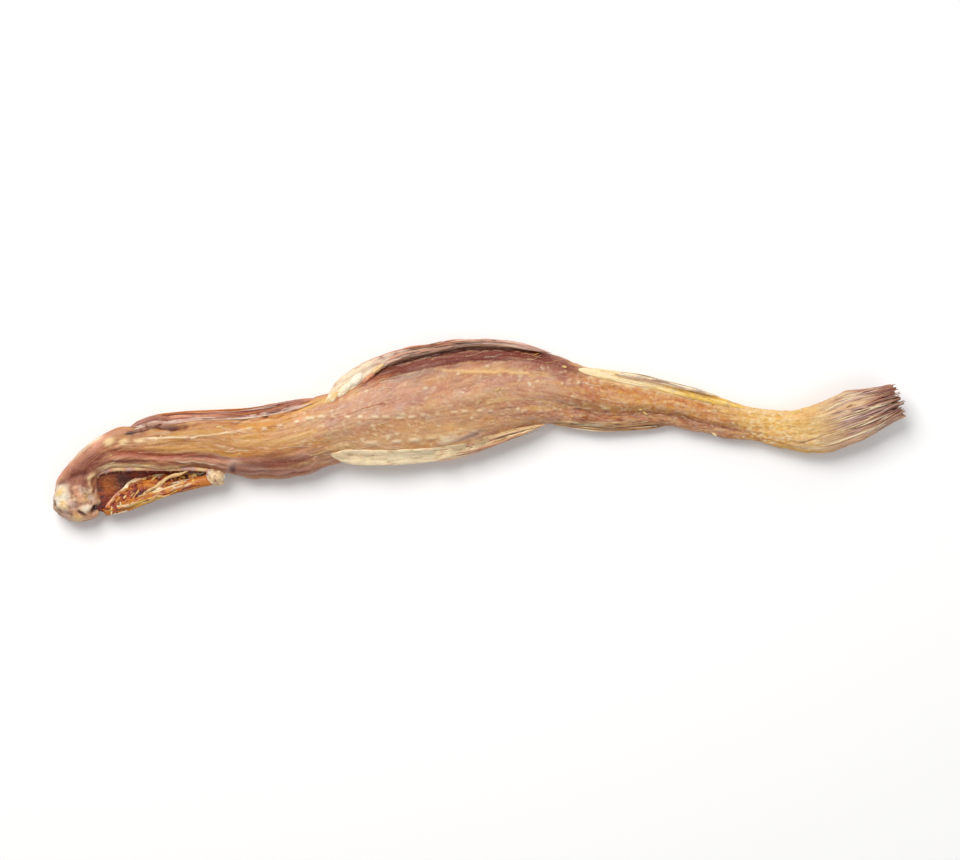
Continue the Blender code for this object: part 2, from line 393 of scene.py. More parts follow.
class Loft:
    """Makes one mesh object out of rolled patches."""

    def __init__(self, name: str) -> None:
        """Names the object."""
        self.name = name

    def build(self, patches: list[Patch], finish: "Finish") -> Piece:
        """Rolls every patch into a capped tube in one mesh and dresses it.

        Args:
            patches: The grids, each row a ring that closes on itself.
            finish: The finish that the piece is dressed in.

        Returns:
            The object, riding on the body in place of the hidden CAD node.
        """
        work = bmesh.new()
        for patch in patches:
            rows, columns = patch.crest.shape
            bmesh.ops.create_grid(work, x_segments=columns, y_segments=rows - 1, size=1.0)
        data = bpy.data.meshes.new(self.name)
        work.to_mesh(data)
        work.free()
        place = (self.joined(patches, "points") + DRAWING_TO_FRAME) * MM
        data.vertices.foreach_set("co", place.astype(np.float32).ravel())
        colours = np.ones((len(place), 4), np.float32)
        colours[:, :3] = held(self.joined(patches, "tone"))
        crest = self.joined(patches, "crest").astype(np.float32)
        flow = self.joined(patches, "flow").astype(np.float32)
        for name, kind, key, values in (
            ("tone", "FLOAT_COLOR", "color", colours),
            ("crest", "FLOAT", "value", crest),
            ("flow", "FLOAT_VECTOR", "vector", flow),
        ):
            data.attributes.new(name, kind, "POINT").data.foreach_set(key, values.ravel())
        self.close(data)
        return self.place(data, finish)

    def joined(self, patches: list[Patch], key: str) -> Grid:
        """All the patches' values of one kind, with each first column repeated as the seam."""
        grids = [getattr(patch, key) for patch in patches]
        grids = [np.concatenate([grid, grid[:, :1]], axis=1) for grid in grids]
        return np.concatenate([grid.reshape(-1, *grid.shape[2:]) for grid in grids])

    def close(self, data: bpy.types.Mesh) -> None:
        """Merges the seams, caps the ends and turns the faces outwards."""
        work = bmesh.new()
        work.from_mesh(data)
        bmesh.ops.remove_doubles(work, verts=work.verts, dist=SEAM_MERGE)
        for face in work.faces:
            face.smooth = True
        ends = [edge for edge in work.edges if edge.is_boundary]
        caps = bmesh.ops.holes_fill(work, edges=ends, sides=0)["faces"]
        for face in caps:
            face.smooth = False
        bmesh.ops.poke(work, faces=caps)
        bmesh.ops.recalc_face_normals(work, faces=work.faces)
        work.to_mesh(data)
        work.free()

    def place(self, data: bpy.types.Mesh, finish: "Finish") -> Piece:
        """Links the mesh as an object that rides on the fish."""
        piece = bpy.data.objects.new(self.name, data)
        bpy.context.scene.collection.objects.link(piece)
        data.materials.append(material_of(finish))
        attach(piece, BODY)
        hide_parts(CAD_NODE)
        return piece


class NodeDesk:
    """Short words for building a node tree."""

    def __init__(self, name: str) -> None:
        """Starts a material with only its Principled shader and output."""
        self.material = bpy.data.materials.new(name)
        self.material.use_nodes = True
        self.tree = self.material.node_tree
        self.shader = self.tree.nodes["Principled BSDF"]

    def add(self, kind: str, **values: object) -> bpy.types.Node:
        """Adds a node and sets its properties."""
        node = self.tree.nodes.new(kind)
        for key, value in values.items():
            setattr(node, key, value)
        return node

    def link(self, source: Socket, target: Socket) -> None:
        """Links two sockets."""
        self.tree.links.new(source, target)

    def feed(self, name: str, value: object) -> None:
        """Gives the shader's input a socket or a plain value."""
        if isinstance(value, Socket):
            self.link(value, self.shader.inputs[name])
        else:
            self.shader.inputs[name].default_value = value

    def attribute(self, name: str, socket: str) -> Socket:
        """Reads an attribute of the piece."""
        return self.add("ShaderNodeAttribute", attribute_name=name).outputs[socket]

    def stretched(self, source: Socket, scale: tuple) -> Socket:
        """Coordinates multiplied by a scale on each axis."""
        mapping = self.add("ShaderNodeMapping")
        mapping.inputs["Scale"].default_value = scale
        self.link(source, mapping.inputs["Vector"])
        return mapping.outputs["Vector"]

    def space(self) -> Socket:
        """The piece's own object coordinates, in metres."""
        return self.add("ShaderNodeTexCoord").outputs["Object"]

    def noise(
        self, vector: Socket, scale: float, detail: float, warp: float = 0.0
    ) -> Socket:
        """Fractal noise read at the vector."""
        node = self.add("ShaderNodeTexNoise")
        node.inputs["Scale"].default_value = scale
        node.inputs["Detail"].default_value = detail
        node.inputs["Roughness"].default_value = 0.6
        node.inputs["Distortion"].default_value = warp
        self.link(vector, node.inputs["Vector"])
        return node.outputs["Fac"]

    def ranged(
        self, value: Socket, low: float, high: float, start: float, end: float
    ) -> Socket:
        """Maps low..high to start..end, clamped and eased."""
        node = self.add("ShaderNodeMapRange", interpolation_type="SMOOTHSTEP")
        names = ("From Min", "From Max", "To Min", "To Max")
        for name, number in zip(names, (low, high, start, end)):
            node.inputs[name].default_value = number
        self.link(value, node.inputs["Value"])
        return node.outputs["Result"]

    def math(self, operation: str, first: Socket, second: object) -> Socket:
        """A Math node on a socket and a socket or number."""
        node = self.add("ShaderNodeMath", operation=operation)
        self.link(first, node.inputs[0])
        if isinstance(second, Socket):
            self.link(second, node.inputs[1])
        else:
            node.inputs[1].default_value = second
        return node.outputs[0]

    def blend(self, kind: str, share: object, first: object, second: object) -> Socket:
        """A colour Mix node; the share and both colours are sockets or plain values."""
        node = self.add("ShaderNodeMix", data_type="RGBA", blend_type=kind)
        for index, value in ((0, share), (6, first), (7, second)):
            if isinstance(value, Socket):
                self.link(value, node.inputs[index])
            else:
                node.inputs[index].default_value = value if index == 0 else (*value, 1.0)
        return node.outputs[2]

    def bumped(self, height: Socket, strength: float, distance: float) -> None:
        """Bumps the shader's normal by the height."""
        node = self.add("ShaderNodeBump")
        node.inputs["Strength"].default_value = strength
        node.inputs["Distance"].default_value = distance
        self.link(height, node.inputs["Height"])
        self.feed("Normal", node.outputs["Normal"])

    def glow_through(self, weight: float, scale: float) -> None:
        """Lets light sink in and come out redder, as thin dried tissue does."""
        self.feed("Subsurface Weight", weight)
        self.feed("Subsurface Radius", (1.0, 0.45, 0.2))
        self.feed("Subsurface Scale", scale)


class Finish:
    """A finish of the fish; each kind builds its own node tree."""

    def make(self) -> bpy.types.Material:
        """Builds the material."""
        raise NotImplementedError


@lru_cache(maxsize=None)
def material_of(finish: Finish) -> bpy.types.Material:
    """The finish's material, built once and then shared."""
    return finish.make()


@dataclass(frozen=True)
class DriedFinish(Finish):
    """Dried tissue: toned along the piece, streaked by fibres, mottled, with painted glints and
    painted shade in its grooves.

    The fibre length and width are in millimetres along and across the flow.
    """

    name: str
    fibre_length: float = 3.6
    fibre_width: float = 0.34
    streaks: float = 0.34
    mottle: float = 0.30
    glints: float = 0.34
    groove_shade: float = 0.34
    rough_low: float = 0.36
    rough_high: float = 0.62
    grain: float = 0.42
    depth: float = 0.10

    def make(self) -> bpy.types.Material:
        """Builds the node tree."""
        desk = NodeDesk(self.name)
        crest = desk.attribute("crest", "Fac")
        flow = desk.attribute("flow", "Vector")
        width = 1.0 / self.fibre_width
        lengthwise = desk.stretched(flow, (1.0 / self.fibre_length, width, width))
        coarse = desk.noise(lengthwise, 1.0, 3.0, 0.5)
        fine = desk.noise(lengthwise, 2.3, 2.0, 0.3)
        mottle = desk.noise(flow, 1.7, 3.0, 0.8)
        speck = desk.noise(flow, 4.4, 2.0)

        colour = desk.attribute("tone", "Color")
        glint = desk.ranged(speck, 0.62, 0.72, 0.0, self.glints)
        for kind, share, stain in (
            ("MULTIPLY", desk.ranged(coarse, 0.50, 0.30, 0.0, self.streaks), linear(168, 118, 92)),
            ("SCREEN", desk.ranged(fine, 0.54, 0.70, 0.0, self.streaks), linear(96, 84, 66)),
            ("MULTIPLY", desk.ranged(mottle, 0.47, 0.30, 0.0, self.mottle), linear(186, 136, 104)),
            ("SCREEN", desk.ranged(mottle, 0.54, 0.68, 0.0, self.mottle), linear(84, 72, 52)),
            # The glint specks are a painted highlight in the colour, and glossier in the roughness.
            ("MIX", glint, Hue.IVORY.light()),
            # Painted shade: the grooves, found by the crest, are darkened.
            ("MULTIPLY", desk.ranged(crest, -0.05, -0.9, 0.0, self.groove_shade), linear(128, 74, 50)),
        ):
            colour = desk.blend(kind, share, colour, stain)
        desk.feed("Base Color", colour)
        worn = desk.math("SUBTRACT", mottle, desk.math("MULTIPLY", glint, 0.4))
        rough = desk.ranged(worn, 0.30, 0.66, self.rough_low, self.rough_high)
        desk.feed("Roughness", rough)
        height = desk.math("ADD", desk.math("MULTIPLY", fine, 0.7), desk.math("MULTIPLY", speck, 0.5))
        height = desk.math("ADD", height, desk.math("ADD", coarse, mottle))
        desk.bumped(height, self.grain, 0.00022)
        desk.glow_through(self.depth, 0.0009)
        return desk.material


@dataclass(frozen=True)
class BoneFinish(Finish):
    """Dry bone and tooth: pale, slightly waxy, stained in its pores, with painted shade in its grooves.
    """

    name: str
    stain: Hue = Hue.GOLD
    stained: float = 0.7
    roughness: float = 0.42
    pored: float = 0.7

    def make(self) -> bpy.types.Material:
        """Builds the node tree."""
        desk = NodeDesk(self.name)
        flow = desk.attribute("flow", "Vector")
        tone = desk.attribute("tone", "Color")
        stain = desk.ranged(desk.noise(flow, 0.9, 3.0, 0.6), 0.44, 0.66, 0.0, self.stained)
        base = desk.blend("MULTIPLY", stain, tone, self.stain.light())
        pores = desk.ranged(desk.noise(flow, 3.2, 3.0), 0.42, 0.28, 0.0, self.pored)
        base = desk.blend("MULTIPLY", pores, base, Hue.AMBER.light())
        # Painted shade: the grooves, found by the crest, are darkened towards mauve.
        groove_shading = desk.ranged(desk.attribute("crest", "Fac"), 0.0, -0.9, 0.0, 0.6)
        base = desk.blend("MULTIPLY", groove_shading, base, Hue.MAUVE.light())
        desk.feed("Base Color", base)
        rough = desk.ranged(pores, 0.0, 0.6, self.roughness, self.roughness + 0.25)
        desk.feed("Roughness", rough)
        desk.bumped(desk.noise(flow, 2.6, 3.0), 0.4, 0.0002)
        desk.glow_through(0.12, 0.0006)
        return desk.material


@dataclass(frozen=True)
class EyeFinish(Finish):
    """A dried eye: near-black and sunken, with a dull gloss."""

    name: str = "dried_eye"

    def make(self) -> bpy.types.Material:
        """Builds the node tree."""
        desk = NodeDesk(self.name)
        cloud = desk.ranged(desk.noise(desk.space(), 1500.0, 3.0, 0.5), 0.46, 0.70, 0.0, 0.6)
        base = desk.blend("MIX", cloud, desk.attribute("tone", "Color"), Hue.STONE.light())
        desk.feed("Base Color", base)
        desk.feed("Roughness", desk.ranged(cloud, 0.0, 0.6, 0.18, 0.42))
        return desk.material


@dataclass(frozen=True)
class FloorFinish(Finish):
    """A plain white sweep with a barely seen tooth."""

    name: str = "white_floor"

    def make(self) -> bpy.types.Material:
        """Builds the node tree."""
        desk = NodeDesk(self.name)
        tooth = desk.ranged(desk.noise(desk.space(), 900.0, 2.0), 0.3, 0.7, 0.60, 0.70)
        desk.feed("Roughness", tooth)
        desk.feed("Base Color", (0.95, 0.95, 0.955, 1.0))
        desk.feed("Specular IOR Level", 0.2)
        return desk.material


# The spine's rings: X, Y, half height, underside and thickness.
SPINE = path_of("""
-99.7 -22.1 1.6 2.6 2.8, -99.5 -20.8 4.2 1.5 5.6, -99.1 -17.6 5.7 0.9 7.2,
-99 -14.2 4.9 0.8 7.8, -97.9 -10.9 4.1 0.8 8.2, -95.6 -7.7 3.9 0.9 8.5, -92.2 -5.5 4.3 1 8.8,
-88 -4.1 5.1 1 9, -84 -3.9 5.2 1 9.2, -75 -3.2 6 0.9 9.5, -67 -2.6 6.3 0.7 9.7,
-60 -3.4 7.3 0.1 10.2, -50 -3.4 8.4 -0.3 10.6, -41 -0.8 8.4 -0.6 11, -35 1.3 8.5 -0.7 11.3,
-24 4 11 -0.7 11.6, -15 6.3 12.7 -0.7 11.8, -7 7.9 12.9 -0.7 11.8, 2.6 10 11.5 -0.7 11.4,
10 10.7 10.2 -0.7 10.7, 16 10.4 8.6 -0.7 10.1, 24 9 7.2 -0.7 9.3, 33 7.4 6.6 -0.6 8.4,
40 6.9 5.4 -0.5 7.8, 48 6 4.8 -0.3 7.1, 56 3.9 4.6 0.1 6.3, 62 2.6 4.3 0.5 5.8,
69 1.6 3.7 1.1 5.3, 75 0.4 4.6 1.8 5.2, 80 0.2 5.4 2.4 5.2, 84.5 1.1 6.1 2.9 5,
89 2.8 6.3 3.5 4.8, 95 4.9 5.7 4.2 4.4, 99 6.4 4.9 4.7 3.8, 103 7.8 4.2 5.2 3
""")


class Spine:
    """The bent spine: the middle of every ring, its half height, underside and thickness."""

    SAMPLES = 3000
    BEND = 24.0

    def __init__(self) -> None:
        """Samples the rings finely and works out the directions."""
        self.rows = curve_through(SPINE, self.SAMPLES)
        self.side = left_of(self.rows)
        self.travel = run_along(self.rows[:, :2])
        self.length = float(self.travel[-1])

    def at(self, travel: Grid) -> tuple[Grid, Grid]:
        """The spine's rows and side directions at the given lengths from the snout."""
        rows = resampled(travel, self.travel, self.rows)
        return rows, unit(resampled(travel, self.travel, self.side))

    def travel_at_x(self, x: float) -> float:
        """The length from the snout to an x on the fish behind the bent head."""
        straight = self.travel > self.BEND
        return float(np.interp(x, self.rows[straight, 0], self.travel[straight]))


@dataclass(frozen=True)
class Zone:
    """A field of colour on the flank: where it lies along and across, and how strong it is."""

    hue: Hue
    low: float
    high: float
    soft: float
    across: float
    width: float
    share: float


@dataclass(frozen=True)
class Fold:
    """A ridge or a groove along a path on the upper flank, with its own colour, which along some
    grooves is painted shade.
    """

    hue: Hue
    width: float
    lift: float
    share: float
    path: tuple


@dataclass(frozen=True)
class Spot:
    """A boss or a pit on the upper flank, as a turned oval with its own colour, which in a few
    pits is painted shade.
    """

    hue: Hue
    x: float
    y: float
    long: float
    short: float
    turn: float
    lift: float
    share: float


@dataclass(frozen=True)
class Strokes:
    """Fibres, wrinkles or dabs strewn over one stretch of the skin.

    The stretch is given in X, or in lengths from the snout on the head, and across from the
    belly to the back. Below the edge the across values go on round the underside, from 1 to
    2 behind the back and from -1 to -2 behind the belly.
    """

    count: int
    slant: float
    spread: float
    stretch: tuple
    across: tuple
    length: tuple
    width: tuple
    lift: tuple
    share: tuple
    hues: tuple
    on_head: bool


def folds_of(text: str) -> tuple[Fold, ...]:
    """Reads a table of folds: a hue, width, lift and share, then a colon and the path."""
    made = []
    for row in text.strip("; \n").split(";"):
        marks, path = row.split(":")
        name, *numbers = marks.split()
        made.append(Fold(Hue[name], *map(float, numbers), path_of(path)))
    return tuple(made)


def strokes_of(text: str) -> tuple[Strokes, ...]:
    """Reads a table of strokes.

    Args:
        text: Rows of a count, a slant and a spread, then the six ranges and the hues, and
            the word on_head where the stretch is given in lengths from the snout.

    Returns:
        The groups of strokes.
    """
    made = []
    for words in words_of(text):
        ranges = [tuple(map(float, word.split(".."))) for word in words if ".." in word]
        hues = tuple(Hue[word] for word in words if word.isupper())
        slant, spread = map(float, words[1:3])
        made.append(Strokes(int(words[0]), slant, spread, *ranges, hues, "on_head" in words))
    return tuple(made)


@dataclass
class Field:
    """Where every grid point of the plain skin lies, in several coordinates."""

    x: Grid
    y: Grid
    z: Grid
    ring: Grid
    travel: Grid
    across: Grid
    wide: Grid
    deep: Grid
    crown: Grid
    top: Grid
    arc: Grid

    def grain(self, seed: int, long: float, wide: float, deep: float, octaves: int = 3) -> Grid:
        """Noise over the skin, with grains of the given sizes in millimetres."""
        return Grain(seed).fractal(self.x / long, self.y / wide, self.z / deep, octaves)


class Canvas:
    """The relief and the tones of the skin, worked over stroke by stroke."""

    def __init__(self, travel: Grid, angles: Grid, arc: Grid) -> None:
        """Keeps the grid's measures and starts with a smooth surface.

        Args:
            travel: Lengths of the rings from the snout.
            angles: Angles of the columns, from under the fish round its back.
            arc: Lengths round every ring.
        """
        self.travel = travel
        self.angles = angles
        self.arc = arc
        self.lift = np.zeros(arc.shape)
        self.tone = np.zeros((*arc.shape, 3))

    def coat(self, *coats: tuple[Hue, Grid]) -> None:
        """Lays coats of colour over the whole skin, each a hue and its shares."""
        self.tone[:] = coated(self.tone, *coats)

    def column(self, across: float) -> int:
        """The column that lies at an across value; past 1 or -1 it lies on the underside."""
        if across > 1.0:
            angle = -(across - 1.0) * math.pi / 2
        elif across < -1.0:
            angle = math.pi - (across + 1.0) * math.pi / 2
        else:
            angle = math.acos(math.copysign(abs(across) ** (1 / EDGE_POWER), across))
        return int(np.interp(angle, self.angles, np.arange(len(self.angles))))

    def stroke(
        self,
        place: tuple[float, float],
        length: float,
        width: float,
        slope: float,
        bend: float,
        lift: float,
        hue: Grid,
        share: float,
    ) -> None:
        """Draws one tapered stroke that follows the fibres.

        Args:
            place: The length from the snout and the across value of its middle.
            length: Half its length.
            width: Half its width.
            slope: How fast it leaves the fibres, sideways over along.
            bend: Its curvature in the same sense.
            lift: The height that it adds.
            hue: Its colour in linear light.
            share: How strongly it covers.
        """
        travel, across = place
        first, last = np.searchsorted(self.travel, (travel - length, travel + length))
        if last - first < 2:
            return
        column = self.column(across)
        middle = min((first + last) // 2, len(self.travel) - 1)
        after = min(column + 1, len(self.angles) - 1)
        step = abs(self.arc[middle, after] - self.arc[middle, after - 1]) + 1e-6
        reach = 2.2 * width + abs(slope) * length + abs(bend) * length**2
        window = int(min(reach / step + 2, 60))
        left, right = max(column - window, 0), min(column + window + 1, len(self.angles))
        t = (self.travel[first:last] - travel)[:, None]
        taper = held(1 - (t / length) ** 2)
        away = self.arc[first:last, left:right] - self.arc[first:last, column : column + 1]
        away = away - slope * t - bend * t**2
        mark = np.exp(-((away / (width * (0.35 + 0.65 * taper))) ** 2)) * np.sqrt(taper)
        self.lift[first:last, left:right] += lift * mark
        mark = (share * mark)[..., None]
        patch = self.tone[first:last, left:right]
        self.tone[first:last, left:right] = patch * (1 - mark) + hue * mark


# Fields of colour: hue, from X, to X, softness, middle across, width across, strength. The RUST
# and MAROON fields from X -24 to 20 near the back's edge darken the band under the back fin, in
# part as painted shade cast by the fin.
ZONES = rows_of(Zone, """
OCHRE -92 -62 8 0.1 0.6 0.85;
AMBER -92 -62 8 0 0.45 0.45;
GOLD -66 -42 8 0.1 0.6 0.8;
HONEY -82 -44 8 0.55 0.24 0.7;
SAND -84 -44 8 0.22 0.1 0.4;
RUST -96 -66 6 -0.24 0.18 0.6;
MAUVE -97 -42 6 -0.74 0.34 0.9;
LILAC -92 -62 6 -0.66 0.07 0.5;
PLUM -66 -40 6 -0.95 0.42 0.85;
PINK -40 22 10 0.15 0.8 0.95;
ROSE -36 6 8 0.32 0.28 0.6;
CREAM -42 4 8 -0.6 0.2 0.7;
LEMON -46 -16 6 -0.22 0.08 0.35;
LILAC -46 -20 6 0.45 0.18 0.65;
GREY -21 -8 3 0.64 0.09 0.8;
RUST -18 18 6 0.72 0.2 0.95;
MAROON -24 20 6 0.9 0.16 0.95;
LEMON -11 12 4 0.44 0.05 0.85;
RUST 22 36 5 0.05 0.26 0.45;
HONEY 10 34 6 -0.2 0.25 0.45;
LEMON 11 24 3 -0.6 0.08 0.65;
HONEY 28 76 8 0.1 0.6 0.65;
LEMON 50 84 8 0.2 0.45 0.5;
CREAM 24 78 6 0.9 0.16 0.8;
MAUVE 20 64 6 -0.8 0.24 0.85;
LEMON 66 90 6 0.2 1.6 0.98;
CREAM 68 94 5 0.75 0.3 0.6;
LILAC 88 110 5 0 1.6 0.92;
PLUM 98 110 4 0.35 0.7 0.8;
""")

# More of the same, laid over the strokes. The UMBER, SOOT and RUST rows from X -14 to 16 near
# the back's edge are painted shade under the back fin.
SHADES = rows_of(Zone, """
UMBER -96 -66 8 0.25 0.6 0.24;
AMBER -90 -50 8 0.2 0.5 0.2;
RUST -96 -80 5 -0.25 0.25 0.3;
PLUM -98 -84 5 -0.5 0.35 0.3;
LEMON -38 0 8 -0.45 0.3 0.12;
GREY -30 14 8 0.1 0.5 0.14;
UMBER -14 16 8 0.84 0.24 0.8;
SOOT -14 16 8 0.88 0.24 0.34;
RUST -14 16 8 0.84 0.26 0.36;
UMBER -84 -42 8 0.2 0.55 0.18;
LEMON -72 -42 8 0.1 0.45 0.1;
UMBER -97 -84 5 0 1.2 0.14;
GREY -34 18 8 0 0.9 0.16;
CREAM -34 -6 6 -0.62 0.26 0.25;
RUST 22 64 8 0.2 0.9 0.14;
PLUM 24 44 8 0.1 0.45 0.16;
UMBER 26 62 6 -0.5 0.45 0.26;
LEMON 66 86 6 0.25 0.9 0.35;
GREY 86 99 4 0 1.4 0.24;
PLUM 96 110 4 0.4 1.1 0.8;
""")

# Folds: hue, width, lift and strength, then the path's X and Y. The SOOT fold from X -23 and
# the MAROON fold from X -20 along the back fin, the MAROON fold from X -84.5 and the RUST fold
# from X -72 under the pectoral fin, and the RUST fold from X -93.3 at the top of the mauve band
# are painted shade in their grooves.
FOLDS = folds_of("""
ROSE 1.1 0.35 0.8 : -103.2 -14, -102.3 -10.9, -99.4 -8, -95.8 -4.9, -92.8 -2.2, -89.9 -0.7;
IVORY 0.45 0.22 0.75 : -101.2 -8.6, -98.2 -5.6, -95.2 -3, -91.6 -0.9;
PLUM 1.6 0.1 0.55 : -100.6 -11.4, -98.9 -9.3, -96.2 -7.4, -93.5 -6.4, -90.6 -6.4;
UMBER 0.75 -0.4 0.6 : -103 -13.2, -101 -12, -99.2 -10.9, -97.4 -10.4, -95 -9.8;
CREAM 0.45 0.34 0.7 : -93.4 -9.9, -94.8 -10.6, -95.9 -12.3, -95.5 -14.2, -94.8 -16.2;
ROSE 1 0.4 0.8 : -99.2 -12.9, -98.6 -14.6, -97.9 -16.2, -97.2 -17.6;
MAUVE 0.6 -0.35 0.45 : -100.4 -13.4, -99.9 -15.2, -99.9 -16.8;
ROSE 0.55 0.25 0.55 : -96.4 -12.2, -95.4 -13.6, -95.6 -15.4;
IVORY 0.24 0.16 0.75 : -84 -1.6, -79.6 -1.6, -72.8 -1.4, -64.6 -0.7, -55 0.9;
RUST 0.85 -0.2 0.6 : -93.3 -3.6, -87.8 -5.3, -79.6 -5.8, -71.4 -5.9, -62.6 -6.2;
SAND 0.6 0.1 0.35 : -91 -4.4, -85 -4.1, -77 -4, -68 -4.3;
ROSE 0.6 0.22 0.45 : -96 -8.1, -90.5 -6.7, -79.6 -6.7, -68.7 -7.1, -60 -7.6;
IVORY 0.2 0.14 0.75 : -75 -7.3, -70 -7.5, -64 -7.9;
PLUM 0.5 -0.12 0.5 : -91.9 -7.6, -85 -7.4, -74 -7.9, -66 -8.4;
CREAM 0.5 0.26 0.85 : -94.4 -10, -91.9 -8.9, -85 -8.4, -79.6 -8.7, -72 -8.9;
MAROON 0.8 -0.9 1 : -84.5 -0.3, -82 0.7, -78.5 1.3, -74.5 1, -70.5 1.7;
RUST 0.34 -0.3 0.6 : -72 1.4, -66 2.2, -60 2.2, -54 2.9, -48 4.1, -43 5.6;
GOLD 0.5 0.18 0.45 : -60 0.6, -52 1.4, -44 3.4, -38 5.2;
SAND 0.6 0.16 0.35 : -66 -3.2, -57 -3, -48 -1.8, -40 -0.2;
MAUVE 0.7 -0.15 0.5 : -60 -6.4, -53 -6.2, -46 -5, -40 -3.4;
SOOT 0.3 -0.6 0.97 : -23 15.6, -20.5 16.8, -15.6 18.4, -9 19.4, -2.4 20.3, 4.2 20.5, 10.8 19.9, 17
    18.5;
BUTTER 0.45 0.16 0.7 : -12 15.2, -5 14.7, 3 14.6, 8.3 14.5, 14.5 13.3;
MAROON 0.5 -0.3 0.6 : -20 14.2, -14 15.8, -6 17.2, 2 17.8, 10 17.2;
CREAM 0.75 0.3 0.6 : 26 13.9, 36 11.5, 44.4 9.9, 52.7 8.2, 61 6.4, 69.3 4.7, 78 5;
AMBER 0.6 -0.12 0.35 : 26 11.6, 34 10.2, 42 9, 50 7.6, 58 5.4;
STONE 0.2 -0.14 0.5 : 77.6 -2.9, 80.4 -2.2, 83.1 -1.3, 87.5 0.2;
CREAM 0.8 0.18 0.6 : 80.3 2.8, 86 4.4, 91.5 6.6, 96.9 8.9;
PLUM 0.35 -0.3 0.6 : 88.6 2.8, 94 5.4, 99.7 8.2;
""")

# Bosses and pits: hue, X, Y, half length, half width, turn in degrees, lift, strength. The SOOT
# pit at X -85.2 is painted shadow under the pectoral fin's root, and the SOOT pit at X 102.2 is
# painted shade in the tail's open end.
SPOTS = rows_of(Spot, """
PLUM -100.6 -12.2 1.4 1.1 60 -0.12 0.6;
UMBER -102.4 -12.8 0.9 0.6 60 -0.25 0.7;
CHALK -102.2 -16.2 2.9 1.9 80 0.75 0.95;
LEMON -102.6 -14.9 1.1 0.7 40 0.2 0.8;
LEMON -101.6 -17.4 0.9 0.6 120 0.15 0.6;
STONE -98.9 -18.2 0.9 0.6 60 -0.25 0.7;
RUST -94.9 -14.6 1.2 0.5 75 -0.2 0.55;
MAUVE -93.9 -16.6 1.6 0.7 70 0.25 0.65;
IVORY -93.6 -19.8 0.8 0.5 20 0.35 0.9;
CREAM -101.4 -18.2 1.5 1 20 0.35 0.8;
STONE -104 -17.4 1.2 0.7 100 -0.25 0.75;
LILAC -99.6 -17.9 1.3 0.9 0 0.15 0.8;
CHALK -96.4 -18.5 1.3 0.8 30 0.4 0.92;
SOOT -97.6 -19.9 1.05 0.5 -30 -0.8 0.98;
SOOT -94.6 -18.9 1.45 0.62 62 -0.75 0.98;
GREY -100.6 -20.4 1.1 0.55 -20 -0.3 0.75;
STONE -103 -19.4 1.3 0.8 -50 -0.15 0.6;
ROSE -95.8 -20.6 1.2 0.5 25 0.25 0.7;
CREAM -98.6 -21.6 2.2 0.6 5 0.25 0.7;
LILAC -102 -20.9 1.5 0.8 -35 0.25 0.7;
CREAM -90.3 -2.5 1.6 1 35 0.45 0.75;
CREAM -86.7 -2.7 1.4 0.8 10 0.4 0.75;
CREAM -82.9 -2.2 1.3 0.7 0 0.35 0.75;
ROSE -88.4 -3.6 1.1 0.5 20 0.25 0.55;
SOOT -85.2 -0.1 1.7 0.6 15 -0.6 0.85;
MAROON -60.7 -9.8 1.6 1 70 -0.35 0.8;
LILAC -60.2 -7.9 2.2 1 10 0.3 0.45;
MAUVE -58.2 -9.6 1.8 0.9 -10 0.2 0.5;
PLUM -51.5 -9 8 2.6 8 -1.2 0.45;
IVORY -8 -2 1.9 0.8 15 0.3 0.85;
GREY -1.5 -0.6 3.6 0.7 22 -0.2 0.8;
LILAC -4.5 -1.4 3 0.5 22 0.2 0.8;
GREY -16 14.2 4.6 1.1 24 -0.05 0.65;
ROSE -44 3 2.2 0.8 20 0.1 0.5;
IVORY -41.5 3.2 1.4 0.5 10 0.18 0.6;
RUST 28 8.2 3.2 1.6 -10 -0.1 0.35;
PLUM 50 3.4 2.4 1 -15 -0.15 0.4;
GOLD 79.5 3.5 3 1.4 20 0.2 0.4;
SOOT 102.2 6.6 1.7 0.9 105 -0.8 0.9;
STONE 99.6 7.6 2.2 0.9 30 -0.25 0.7;
CHALK 91.5 3.4 2.8 0.5 15 0.15 0.85;
PLUM 89 5.2 2.4 0.3 25 -0.15 0.7;
PLUM 95.3 6.5 2.6 0.3 28 -0.15 0.75;
""")

# Broad soft strokes: count, slant, spread, then the ranges of X, across, length, width,
# lift and strength, and the hues.
WASHES = strokes_of("""
240 0 0.05 -92..-40 -0.45..0.98 3..11 0.45..1.1 0..0 0.3..0.75 LEMON AMBER HONEY ROSE GOLD RUST OCHRE
    LILAC;
200 0 0.05 -96..-40 -1.1..-0.4 2..9 0.4..0.9 0..0 0.3..0.7 MAUVE PLUM ROSE LILAC MAROON PINK;
1000 0.35 0.25 -42..26 -0.95..0.66 0.6..3.2 0.35..0.9 0..0 0.25..0.65 ROSE LILAC PINK MAUVE HONEY
    BUTTER AMBER GREY PINK;
720 0 0.35 22..66 -0.8..1 0.5..2.4 0.35..0.8 0..0 0.25..0.65 HONEY LEMON AMBER ROSE CREAM RUST PINK
    GOLD;
220 0 0.35 66..88 -1..1 0.5..2.2 0.3..0.7 0..0 0.25..0.6 LEMON CREAM HONEY IVORY GOLD LEMON;
260 0 0.08 86..104 -1..1 1..5 0.3..0.7 0..0 0.3..0.6 LILAC CREAM GREY IVORY ROSE MAUVE;
90 0 0.6 2..9 -1.1..1.1 0.6..2 0.35..0.8 0..0 0.3..0.7 CHALK LEMON MAUVE ROSE GREY LILAC on_head;
130 0 0.12 9..24 -1.1..1.1 1..4 0.35..0.9 0..0 0.3..0.7 PLUM MAUVE ROSE RUST MAUVE PINK on_head;
""")
